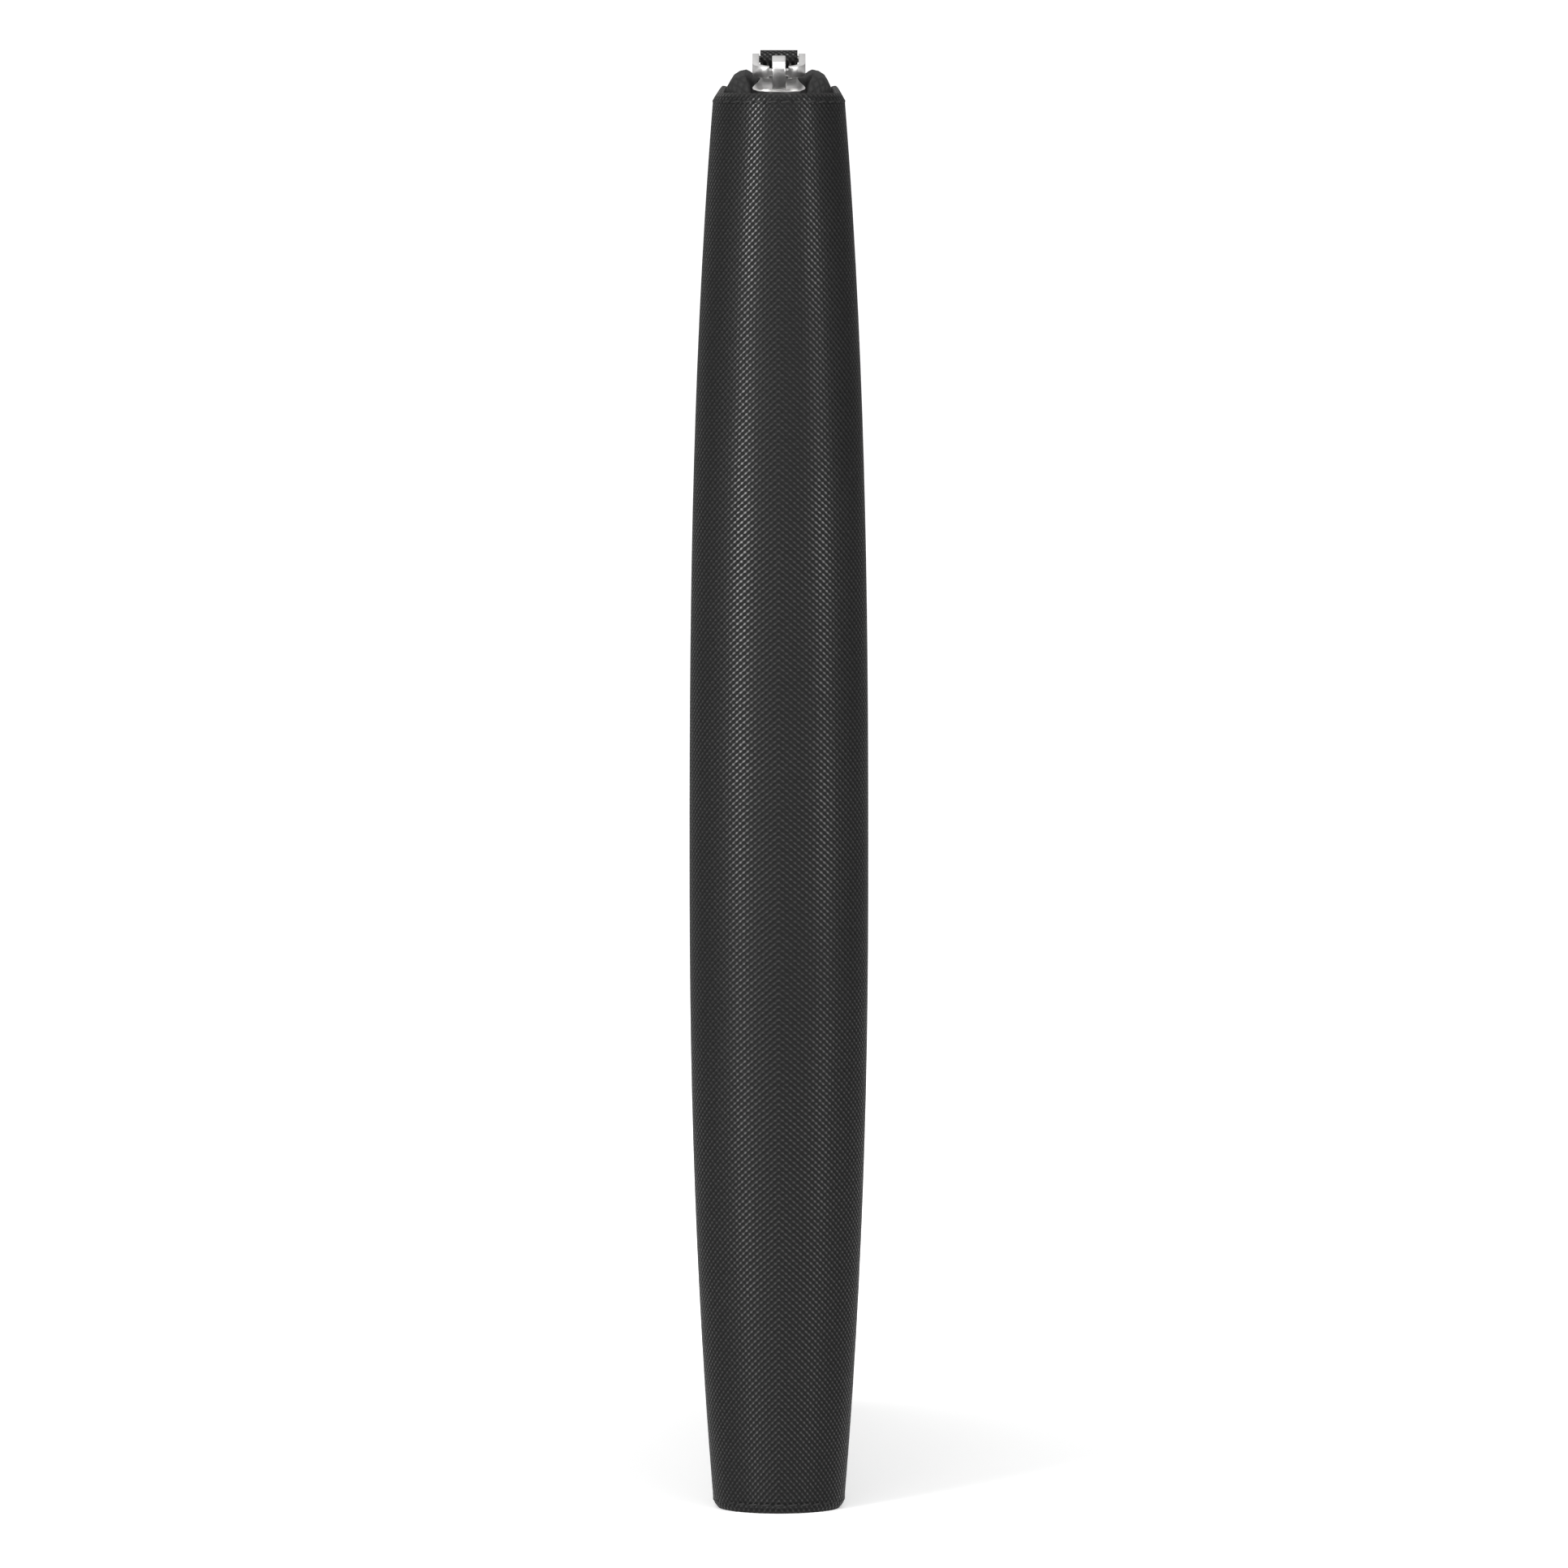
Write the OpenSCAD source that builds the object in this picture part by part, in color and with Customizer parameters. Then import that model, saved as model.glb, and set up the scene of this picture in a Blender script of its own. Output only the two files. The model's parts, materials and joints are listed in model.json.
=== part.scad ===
// Zip-around fountain pen case: a slim book-style case of embossed leather that stands on its end.
// +Z is up along the spine, -Y faces the spine and X runs through the case's thickness.
// The back half lies on the -X side and the front half on the +X side.
// The origin is the centre of the foot, where the case stands on its lower edges.

/* [Case] */
// Height of the leather shell, along the spine
case_h = 250; // [200:1:280]
// Depth of the leather shell, from the spine to the fore-edge
case_d = 185; // [160:1:200]
// Half of the thickness at the rims, where the leather meets the zip tape
rim_x = 11.5; // [11.5:0.1:14]
// How far each cover bellies out beyond the rims at its fullest
belly = 4.3; // [2:0.1:5]
// Height at which the case is fullest
belly_z = 112; // [90:1:130]
// Radius of the corners at the fore-edge
corner_r = 22; // [16:1:30]

/* [Spine] */
// Depth of the rounded spine
spine_d = 11; // [9:0.5:12]
// Points round the spine's curve
spine_steps = 20; // [16:2:32]

/* [Layers] */
// Thickness of the outer leather
leather_t = 1.0; // [0.8:0.1:1.2]
// Width of the turned-in rim round each cover
rim_w = 7; // [6:0.5:9]
// Thickness of the stiffening board
board_t = 0.9; // [0.6:0.1:1]
// Thickness of the lining
lining_t = 0.5; // [0.3:0.1:0.6]
// Half of the clear thickness inside, between the linings
inner_x = 8.3; // [8:0.1:8.5]

/* [Zip] */
// Thickness of the woven tape
tape_t = 0.6; // [0.4:0.1:0.7]
// How far the tape's rounded shoulder stands out of the rim
crest = 2.8; // [2:0.1:3.5]
// How far the closed chain stands out of the rim
chain_n = 1.9; // [1:0.1:2.2]
// Distance from one tooth to the next on one tape
pitch = 2.4; // [2.2:0.1:3]
// Length over which the chain dips into the case at the spine
dip_l = 24; // [20:1:30]
// Length of the slider
slider_l = 11; // [10:0.5:12]
// Width of the slider's nose
nose_w = 9.4; // [9:0.1:9.8]
// Width of the slider's tail
tail_w = 6.6; // [6.4:0.1:7]

/* [Pull] */
// Outer width of the pull ring
ring_w = 9.4; // [8.6:0.1:10]
// Outer length of the pull ring
ring_l = 11.5; // [10:0.5:13]
// Width of the leather tab
tab_w = 6.6; // [5.5:0.1:6.8]
// Length of the leather tab
tab_l = 32; // [24:1:40]

/* [Inside] */
// How many pens the case holds
pens = 10; // [8:1:10]
// Length of the pen sleeves
sleeve_l = 62; // [50:1:75]
// Width of the opening of one sleeve
sleeve_w = 18; // [16:0.5:18.5]
// Height of the flap and of the slip pocket
flap_h = 222; // [200:1:224]

/* [Hidden] */

black = [0.07, 0.07, 0.075];
black_soft = [0.11, 0.11, 0.115];
silver = [0.78, 0.78, 0.8];

skin_gap = 0.1;                      // between the spine's leather and each cover's
foam_t = 1.0;                        // thickness of the foam behind the spine's leather
layer_gap = 0.05;                    // between a soft layer and the piece it lies on
pad_gap = 0.2;                       // between a cover's foam and its curved leather
cover_y = spine_d + skin_gap;        // where the covers start
turn_x = rim_x - 2.1;                // inner face of the turned-in rim
board_x = inner_x + lining_t;        // inner face of the board
tape_x = turn_x - tape_t / 2;        // middle of the tape's sewn edge
tape_in = 6;                         // how deep the tape is sewn into the rim
tape_y = 11.4;                       // where the tapes start, behind the spine's curve
tape_edge = 2.4;                     // distance from the middle to the tape's beaded edge
tooth_t = 2.3;                       // thickness of a tooth
tooth_w = 1.0;                       // width of a tooth along the chain
tooth_reach = 0.8;                   // how far a tooth reaches past the middle
low_crest = -0.6;                    // the tape and chain are pressed in under the case,
low_chain = -1.5;                    // so that it stands on its leather edges
dip_n = -2.9;                        // where the chain starts, inside the spine's end
press_l = 25;                        // length over which the chain is pressed in
gusset_t = 0.8;                      // thickness of the cloth across the spine's ends
gusset_r = spine_d - leather_t - foam_t - lining_t - 0.3;
gusset_in = 6;                       // how deep it lies inside the spine's end
edge_round = 0.8;                    // rounding of the leather's edges

back_y = case_d + crest + tape_t / 2;               // rearmost point: the tape's shoulder
all_y = -back_y / 2;                                // puts the origin under the middle

top_run = case_d - corner_r - tape_y;
arc_run = PI / 2 * corner_r;
side_run = case_h - 2 * corner_r;
zip_l = 2 * top_run + 2 * arc_run + side_run;
press_t = top_run + arc_run + side_run - press_l;   // where the chain starts to press in

slider_t = dip_l / 2;                               // the closed slider's place on the chain
channel = 2.9;                                      // height of the slider's channel
plate_t = 0.9;
flange_t = 0.7;
slot = 1.3;                                         // height of the slot that the tape runs in
teeth_t = slider_t - 0.2;                           // first tooth, behind the slider's wedge
teeth_n = floor((zip_l - teeth_t - 7) / pitch);
bail_top = 7.5;                                     // height of the bail over the chain
pin_y = 2.1;                                        // place of the lock pin along the slider
ring_bar = 1.2;
ring_h = 2.0;
ring_n = 4.7;                                       // height of the ring's bar over the chain
ring_s = -1.6;                                      // its place along the slider
tab_t = 3.2;

sleeve_y = 96;                                      // middle of the pen sleeves
sleeve_wall = 0.8;
sleeve_top = 4.3;                                   // outer face of the sleeves
pen_pitch = 21.5;
flap_x = 4.9;
flap_t = 1.1;
flap_y = 12.4;
flap_l = 150;

// --- shared functions ---

function mix(a, b, u) = a + (b - a) * u;
function clamp01(u) = min(1, max(0, u));
function smooth(u) = let (v = clamp01(u)) v * v * (3 - 2 * v);

// How far the covers belly out at height z, and its fading towards the fore-edge
function swell(z) =
    let (up = z > belly_z, span = up ? case_h - belly_z : belly_z)
    belly * (1 - pow(min(1, abs(z - belly_z) / span), up ? 2.6 : 2.2));
function fade(y) = 1 - pow(clamp01((y - cover_y) / (case_d - cover_y)), 2.2);

// Rounding of an edge, d from it: the surface draws back by this much
function edge_in(d) = edge_round * pow(1 - clamp01(d / 1.6), 2);

// Where the fore-edge's outline lies at height z, with its round corners
function fore_y(z, inset = 0) =
    let (r = corner_r - inset, low = corner_r - z, high = z - case_h + corner_r, c = max(low, high, 0))
    case_d - corner_r + sqrt(max(0, r * r - c * c));

// A closed band through rings of points. The first half of a ring's points runs along one face
// of the band, and the second half runs back along the other.
module loft(rings) {
    n = len(rings[0]);
    last = (len(rings) - 1) * n;
    polyhedron(
        points = [for (ring = rings) each ring],
        faces = [
            for (i = [0:n / 2 - 2])
                let (j = n - 1 - i)
                each [[i, i + 1, j], [i + 1, j - 1, j],
                    [last + i, last + j, last + i + 1], [last + i + 1, last + j, last + j - 1]],
            for (a = [0:n:last - 1], i = [0:n - 1])
                let (j = (i + 1) % n)
                each [[a + i, a + n + i, a + j], [a + j, a + n + i, a + n + j]]
        ],
        convexity = 6
    );
}

// Heights at which the leather's surface is cut: close together at both ends
rows = concat([0, 0.5, 1.2, 2.5, 6, rim_w, rim_w + 0.3],
    [for (u = [1:5]) rim_w + (corner_r - rim_w) * u / 5],
    [for (u = [1:9]) mix(corner_r, case_h - corner_r, u / 9)],
    [for (u = [1:4]) case_h - corner_r + (corner_r - rim_w) * u / 5],
    [case_h - rim_w - 0.3, case_h - rim_w, case_h - 6, case_h - 2.5, case_h - 1.2, case_h - 0.5, case_h]);

// Distance of a height from the nearer end
function end_gap(z) = min(z, case_h - z);

// --- leather, padding, boards and linings ---

// One layer of the spine's curve, from depth a to depth b under its surface
module spine_layer(a, b, z0, z1) {
    function curve(z, depth, way) = [
        for (i = [0:spine_steps])
            let (f = mix(-90, 90, i / spine_steps) * way,
                 w = rim_x + swell(z) - edge_in(end_gap(z)) * (depth == 0 ? 1 : 0) - depth,
                 d = spine_d - depth - edge_in(end_gap(z)) * (depth == 0 ? 1 : 0))
            [w * sin(f), spine_d - d * cos(f), z]
    ];
    loft([for (z = rows) if (z >= z0 && z <= z1) concat(curve(z, a, 1), curve(z, b, -1))]);
}

// The cloth that closes the hollow of the spine at one end, with its face at height z
module spine_gusset(z) {
    translate([0, 0, z])
    linear_extrude(gusset_t)
    intersection() {
        translate([0, spine_d]) circle(gusset_r, $fn = 96);
        translate([-gusset_r, 0]) square([2 * gusset_r, spine_d]);
    }
}

// Places of the columns across a cover, measured from its fore-edge
col_in = [0, 0.5, 1.2, 2.5, rim_w, rim_w + 0.3];
function columns(z) =
    let (f = fore_y(z), last = f - col_in[5])
    concat([for (u = [0:9]) mix(cover_y, last, u / 9)], [for (k = [4:-1:0]) f - col_in[k]]);

function outer_x(y, z) =
    rim_x + swell(z) * fade(y) - edge_in(min(end_gap(z), fore_y(z) - y));
function inner_face(y, z) =
    end_gap(z) <= rim_w || fore_y(z) - y <= rim_w + 0.01
        ? turn_x
        : rim_x + swell(z) * fade(y) - leather_t;

// A cover's leather, with its edges turned in over the board
module cover_leather() {
    loft([
        for (z = rows)
            let (ys = columns(z), n = len(ys))
            concat([for (y = ys) [outer_x(y, z), y, z]],
                [for (k = [n - 1:-1:0]) [inner_face(ys[k], z), ys[k], z]])
    ]);
}

// The foam between a cover's board and its leather
module cover_padding() {
    edge = rim_w + 1.2;
    base = board_x + board_t + layer_gap;
    loft([
        for (z = rows)
            if (end_gap(z) > edge)
                let (ys = [for (u = [0:10]) mix(cover_y + 0.6, fore_y(z) - edge, u / 10)])
                concat([for (y = ys) [rim_x + swell(z) * fade(y) - leather_t - pad_gap, y, z]],
                    [for (k = [10:-1:0]) [base, ys[k], z]])
    ]);
}

// A flat sheet of a cover, from x0 to x1, its outline inset from the rim
module sheet(x0, x1, inset, y0) {
    r = corner_r - inset;
    translate([x0, 0, 0])
    rotate([90, 0, 90])
    linear_extrude(x1 - x0)
    union() {
        translate([y0, inset])
            square([case_d - corner_r - y0, case_h - 2 * inset]);
        translate([case_d - corner_r - 1, corner_r])
            square([1 + r, case_h - 2 * corner_r]);
        for (z = [corner_r, case_h - corner_r])
            translate([case_d - corner_r, z]) circle(r, $fn = 96);
    }
}

module cover_board() { sheet(board_x, board_x + board_t, rim_w + 0.5, cover_y + 0.6); }
module cover_lining() { sheet(inner_x, board_x, 1.2, cover_y + 0.4); }

// --- zip ---

// Place on the rim at distance t along it, from the spine's upper end: [y, z, direction outwards]
function rim_at(t) =
    let (a = top_run + arc_run, b = a + side_run, turn = 90 / arc_run)
    t <= top_run ? [tape_y + t, case_h, 90]
    : t < a ? let (f = 90 - (t - top_run) * turn)
        [case_d - corner_r + corner_r * cos(f), case_h - corner_r + corner_r * sin(f), f]
    : t <= b ? [case_d, case_h - corner_r - (t - a), 0]
    : t < b + arc_run ? let (f = -(t - b) * turn)
        [case_d - corner_r + corner_r * cos(f), corner_r + corner_r * sin(f), f]
    : [case_d - corner_r - (t - b - arc_run), 0, -90];

function pressed(t) = smooth((t - press_t) / press_l);
function crest_at(t) = mix(crest, low_crest, pressed(t));
function chain_at(t) = mix(mix(dip_n, chain_n, smooth(t / dip_l)), low_chain, pressed(t));

// The middle line of the tape's section at t, from its sewn edge to its beaded edge
function tape_line(t) =
    let (c = crest_at(t), m = chain_at(t))
    [[tape_x, -tape_in], [tape_x, -0.3], [tape_x - 0.25, 0.36 * c], [tape_x - 0.8, 0.68 * c],
     [tape_x - 1.8, 0.91 * c], [6.2, c], [5.6, mix(c, m, 0.35)], [5.0, mix(c, m, 0.85)],
     [4.4, m], [tape_edge, m]];

// Unit normal of a line of points at point i
function normal_at(line, i) =
    let (a = line[max(0, i - 1)], b = line[min(len(line) - 1, i + 1)], d = (b - a) / norm(b - a))
    [d[1], -d[0]];

function tape_ring(t) =
    let (line = tape_line(t), last = len(line) - 1, h = tape_t / 2,
         inside = [for (i = [0:last]) line[i] - h * normal_at(line, i)],
         outside = [for (i = [last:-1:0]) line[i] + h * normal_at(line, i)],
         p = rim_at(t))
    [for (q = concat(inside, outside)) [q[0], p[0] + q[1] * cos(p[2]), p[1] + q[1] * sin(p[2])]];

tape_stops = concat(
    [for (u = [0:7]) dip_l * u / 7],
    [for (u = [1:3]) mix(dip_l, top_run, u / 3)],
    [for (u = [1:8]) top_run + arc_run * u / 8],
    [top_run + arc_run + side_run / 2],
    [for (u = [0:5]) press_t + press_l * u / 5],
    [for (u = [1:8]) top_run + arc_run + side_run + arc_run * u / 8],
    [zip_l]);

module zip_tape() { loft([for (t = tape_stops) tape_ring(t)]); }

// Moves its children to the chain at t, lying along it
module on_chain(t) {
    p = rim_at(t);
    n = chain_at(t);
    slope = atan((chain_at(t + 0.5) - chain_at(t - 0.5)));
    translate([0, p[0] + n * cos(p[2]), p[1] + n * sin(p[2])])
    rotate([p[2] - 90 + slope, 0, 0])
        children();
}

// One row of teeth: each grips the tape's edge and reaches across to the other row
module zip_teeth(first) {
    for (k = [0:teeth_n - 1])
        on_chain(teeth_t + first + k * pitch)
        translate([-tooth_reach, -tooth_w / 2, -tooth_t / 2])
            cube([tape_edge + tooth_reach, tooth_w, tooth_t]);
}

// The stop that a tape carries ahead of the closed slider
module top_stop() {
    on_chain(slider_t - slider_l / 2 - 2.6)
    translate([tape_edge - 1.2, -1, -1.1])
        cube([1.2, 2, 2.2]);
}

// The stop that joins both tapes' edges at the chain's far end
module bottom_stop() {
    on_chain(zip_l - 3)
    translate([-tape_edge, -1.2, -1.2])
        cube([2 * tape_edge, 2.4, 2.4]);
}

// --- slider, in its own frame: nose at -Y, chain's middle at z = 0 ---

slider_p = rim_at(slider_t);
slider_n = chain_at(slider_t);
slider_slope = atan(chain_at(slider_t + 0.5) - chain_at(slider_t - 0.5));

module at_slider() {
    translate([0, slider_p[0], slider_p[1] + slider_n])
    rotate([slider_slope, 0, 0])
        children();
}

// The slider's outline: a rounded nose that narrows to the tail
function slider_half(inset) =
    let (l = slider_l / 2, w = nose_w / 2 - inset, v = tail_w / 2 - inset)
    [[1.9, -l], [w - 0.9, -l + 0.35], [w - 0.15, -l + 1.3], [w, -l + 2.2], [w - 0.25, -l + 3.4],
     [mix(w, v, 0.72), 0.2], [v, 2.2], [v, l - 0.6], [v - 0.6, l]];

module slider_outline(inset = 0) {
    half = slider_half(inset);
    polygon(concat(half, [for (i = [len(half) - 1:-1:0]) [-half[i][0], half[i][1]]]));
}

module slider_flange(z0, z1) {
    translate([0, 0, z0])
    linear_extrude(z1 - z0)
    difference() {
        slider_outline();
        slider_outline(flange_t);
        translate([-nose_w, -slider_l]) square([2 * nose_w, slider_l / 2 + 0.7]);
        translate([-tail_w / 2 + flange_t, 0]) square([tail_w - 2 * flange_t, slider_l]);
    }
}

module slider_shape() {
    for (z = [-channel / 2 - plate_t, channel / 2])
        translate([0, 0, z]) linear_extrude(plate_t) slider_outline();
    slider_flange(slot / 2, channel / 2 + 0.01);
    slider_flange(-channel / 2 - 0.01, -slot / 2);
    translate([0, 0, -channel / 2 - 0.01])
    linear_extrude(channel + 0.02)
        polygon([[-1.1, -slider_l / 2 + 0.3], [1.1, -slider_l / 2 + 0.3], [1.8, -slider_l / 2 + 1.4],
            [0.35, -0.9], [-0.35, -0.9], [-1.8, -slider_l / 2 + 1.4]]);
}

// The bail: a strip bent into an arch from the nose to the tail, with the ring through it
bail_w = 2.4;
module bail_shape() {
    low = channel / 2 + plate_t;
    rotate([90, 0, 90])
    translate([0, 0, -bail_w / 2])
    linear_extrude(bail_w)
    difference() {
        polygon([[-5.0, low], [-4.6, bail_top - 1.5], [-3.6, bail_top - 0.3], [-2.6, bail_top],
            [0.2, bail_top - 0.3], [2.8, bail_top - 1.6], [4.6, low + 0.8], [4.9, low]]);
        polygon([[-4.1, low - 1], [-3.8, bail_top - 1.6], [-3.1, bail_top - 0.95],
            [-0.1, bail_top - 1.2], [2.3, bail_top - 2.4], [3.8, low + 0.6], [3.8, low - 1]]);
    }
}

// The pin that drops between two teeth to hold the slider still
module lock_pin_shape() {
    low = tooth_t / 2 + 0.1;
    translate([0, pin_y, low]) cylinder(h = channel / 2 + plate_t + 0.45 - low, d = 0.7, $fn = 24);
}

// --- pull ring and tab: both lie back over the chain ---

ring_lean = -2;     // the ring rises a little less steeply than the slider
tab_lean = -16;     // the tab falls back to lie over the chain

// Moves its children to the ring's frame: its front bar in the bail is the origin, +Y runs to the tab
module at_ring() {
    at_slider() translate([0, ring_s, ring_n]) rotate([ring_lean, 0, 0]) children();
}

module ring_outline(inset) {
    w = ring_w / 2 - inset;
    l = ring_l - 2 * inset;
    r = 3.2 - inset;
    translate([0, -ring_bar / 2 + inset])
    union() {
        translate([-w, r]) square([2 * w, l - r]);
        translate([-w + r, 0]) square([2 * (w - r), r]);
        for (x = [-w + r, w - r]) translate([x, r]) circle(r, $fn = 48);
    }
}

// A stirrup of flat bar: a round front in the bail, and a round bar for the tab behind
module ring_shape() {
    difference() {
        translate([0, 0, -ring_h / 2]) linear_extrude(ring_h) ring_outline(0);
        translate([0, 0, -ring_h]) linear_extrude(2 * ring_h) ring_outline(ring_bar);
        translate([-ring_w, ring_l - ring_bar * 2.2, -ring_h])
            cube([2 * ring_w, ring_bar * 3, 2 * ring_h]);
        for (z = [0.55, -ring_h])
            translate([-bail_w / 2 - 0.5, -ring_bar, z]) cube([bail_w + 1, 2 * ring_bar, ring_h - 0.55]);
    }
    for (x = [-1, 1])
        translate([x * (ring_w - ring_bar) / 2, 0, 0])
        translate([-ring_bar / 2, ring_l - ring_bar * 2.2 - 0.01, 0])
            rotate([0, 90, 0]) cylinder(h = ring_bar, r = ring_h / 2, $fn = 48);
    translate([-ring_w / 2, tab_bar_y, 0])
        rotate([0, 90, 0]) cylinder(h = ring_w, d = ring_bar, $fn = 48);
}
tab_bar_y = ring_l - ring_bar * 2.2;

module at_tab() {
    at_ring() translate([0, tab_bar_y, 0]) rotate([tab_lean, 0, 0]) children();
}

// The tab's leather: one strip folded round the ring's bar, its two ends sewn together
module tab_leather_shape() {
    difference() {
        union() {
            rotate([0, 90, 0]) translate([0, 0, -tab_w / 2]) cylinder(h = tab_w, d = tab_t, $fn = 64);
            translate([-tab_w / 2, 0, -tab_t / 2]) cube([tab_w, tab_l - tab_w / 2, tab_t]);
            translate([0, tab_l - tab_w / 2, -tab_t / 2]) cylinder(h = tab_t, d = tab_w, $fn = 64);
        }
        rotate([0, 90, 0]) translate([0, 0, -tab_w]) cylinder(h = 2 * tab_w, d = ring_bar + 0.1, $fn = 64);
        tab_core_shape(tab_w + 1);
    }
}

// The stiffener between the tab's two faces
module tab_core_shape(width = tab_w - 0.2) {
    translate([-width / 2, 3, -0.5]) cube([width, tab_l - tab_w - 2, 1]);
}

// --- inside ---

function pen_z(i) = case_h / 2 + (i - (pens - 1) / 2) * pen_pitch;

// The section of the sleeves: a strip of leather that arches over each pen
module sleeve_section() {
    depth = inner_x + sleeve_top;
    difference() {
        translate([-inner_x, pen_z(0) - pen_pitch / 2]) square([depth, pens * pen_pitch]);
        for (i = [0:pens - 1]) {
            translate([-inner_x - 1, pen_z(i) - sleeve_w / 2])
                square([depth - sleeve_wall - 2, sleeve_w]);
            translate([-inner_x - 1, pen_z(i) - sleeve_w / 2 + 3])
                square([depth - sleeve_wall + 1, sleeve_w - 6]);
            for (s = [-1, 1])
                translate([sleeve_top - sleeve_wall - 3, pen_z(i) + s * (sleeve_w / 2 - 3)])
                    circle(3, $fn = 32);
        }
        for (i = [0:pens])
            translate([sleeve_top, pen_z(0) + (i - 0.5) * pen_pitch])
                circle(2.4, $fn = 32);
    }
}

module pen_sleeves_shape() {
    translate([0, sleeve_y + sleeve_l / 2, 0])
    rotate([90, 0, 0])
    linear_extrude(sleeve_l)
        sleeve_section();
}

// A flat panel in the case, between x0 and x1, centred on the case's height
module panel(x0, x1, y0, y1, h, r) {
    translate([x0, 0, case_h / 2])
    rotate([90, 0, 90])
    linear_extrude(x1 - x0)
    union() {
        translate([y0, -h / 2]) square([y1 - y0 - r, h]);
        translate([y0, -h / 2 + r]) square([y1 - y0, h - 2 * r]);
        for (z = [-1, 1]) translate([y1 - r, z * (h / 2 - r)]) circle(r, $fn = 64);
    }
}

// --- nodes ---

module placed() { translate([0, all_y, 0]) children(); }
module mirrored() { mirror([1, 0, 0]) children(); }

module spine_leather() { color(black) placed() spine_layer(0, leather_t, 0, case_h); }
module spine_padding() {
    color(black_soft) placed() spine_layer(leather_t + layer_gap, leather_t + foam_t, 6, case_h - 6);
}
module spine_lining() {
    color(black_soft) placed()
    spine_layer(leather_t + foam_t + layer_gap, leather_t + foam_t + layer_gap + lining_t, 2.5, case_h - 2.5);
}
module spine_top_gusset() { color(black_soft) placed() spine_gusset(case_h - gusset_in - gusset_t); }
module spine_bottom_gusset() { color(black_soft) placed() spine_gusset(gusset_in); }
module zip_bottom_stop() { color(silver) placed() bottom_stop(); }

module back_cover_leather() { color(black) placed() mirrored() cover_leather(); }
module back_padding() { color(black_soft) placed() mirrored() cover_padding(); }
module back_board() { color([0.45, 0.42, 0.38]) placed() mirrored() cover_board(); }
module back_lining() { color(black_soft) placed() mirrored() cover_lining(); }
module back_zip_tape() { color(black_soft) placed() mirrored() zip_tape(); }
module back_zip_teeth() { color(silver) placed() mirrored() zip_teeth(0); }
module back_top_stop() { color(silver) placed() mirrored() top_stop(); }
module pen_sleeves() { color(black_soft) placed() pen_sleeves_shape(); }
module flap_gusset() {
    color(black_soft) placed()
    translate([-inner_x, flap_y, (case_h - flap_h) / 2]) cube([inner_x + flap_x - 0.3, 1.0, flap_h]);
}

module front_cover_leather() { color(black) placed() cover_leather(); }
module front_padding() { color(black_soft) placed() cover_padding(); }
module front_board() { color([0.45, 0.42, 0.38]) placed() cover_board(); }
module front_lining() { color(black_soft) placed() cover_lining(); }
module front_zip_tape() { color(black_soft) placed() zip_tape(); }
module front_zip_teeth() { color(silver) placed() zip_teeth(pitch / 2); }
module front_top_stop() { color(silver) placed() top_stop(); }
module slip_pocket() { color(black_soft) placed() panel(7.2, 8.25, 20, 172, flap_h, 12); }

module flap_face() {
    color(black) placed()
    panel(flap_x + 0.75, flap_x + flap_t, flap_y + 0.6, flap_y + flap_l, flap_h, 14);
}
module flap_core() {
    color([0.5, 0.5, 0.5]) placed()
    panel(flap_x + 0.35, flap_x + 0.75, flap_y + 6, flap_y + flap_l - 3, flap_h - 6, 12);
}
module flap_backing() {
    color(black_soft) placed()
    panel(flap_x, flap_x + 0.35, flap_y + 0.6, flap_y + flap_l, flap_h, 14);
}

module lock_pin() { color(silver) placed() at_slider() lock_pin_shape(); }
module slider_body() {
    color(silver) placed() at_slider()
    difference() {
        slider_shape();
        translate([0, pin_y, 0]) cylinder(h = 8, d = 1.3, $fn = 24);
    }
}
module slider_bail() { color(silver) placed() at_slider() bail_shape(); }
module pull_ring() { color(silver) placed() at_ring() ring_shape(); }
module tab_leather() { color(black) placed() at_tab() tab_leather_shape(); }
module tab_core() { color([0.2, 0.2, 0.2]) placed() at_tab() tab_core_shape(); }

spine_leather();
spine_padding();
spine_lining();
spine_top_gusset();
spine_bottom_gusset();
zip_bottom_stop();
back_cover_leather();
back_padding();
back_board();
back_lining();
back_zip_tape();
back_zip_teeth();
back_top_stop();
pen_sleeves();
flap_gusset();
front_cover_leather();
front_padding();
front_board();
front_lining();
front_zip_tape();
front_zip_teeth();
front_top_stop();
slip_pocket();
flap_face();
flap_core();
flap_backing();
lock_pin();
slider_body();
slider_bail();
pull_ring();
tab_leather();
tab_core();
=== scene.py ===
"""A zip-around fountain pen case of cross-hatched leather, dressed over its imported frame."""

import json
import logging
import math
from dataclasses import dataclass
from enum import Enum
from typing import Callable, Iterable, Sequence

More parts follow.
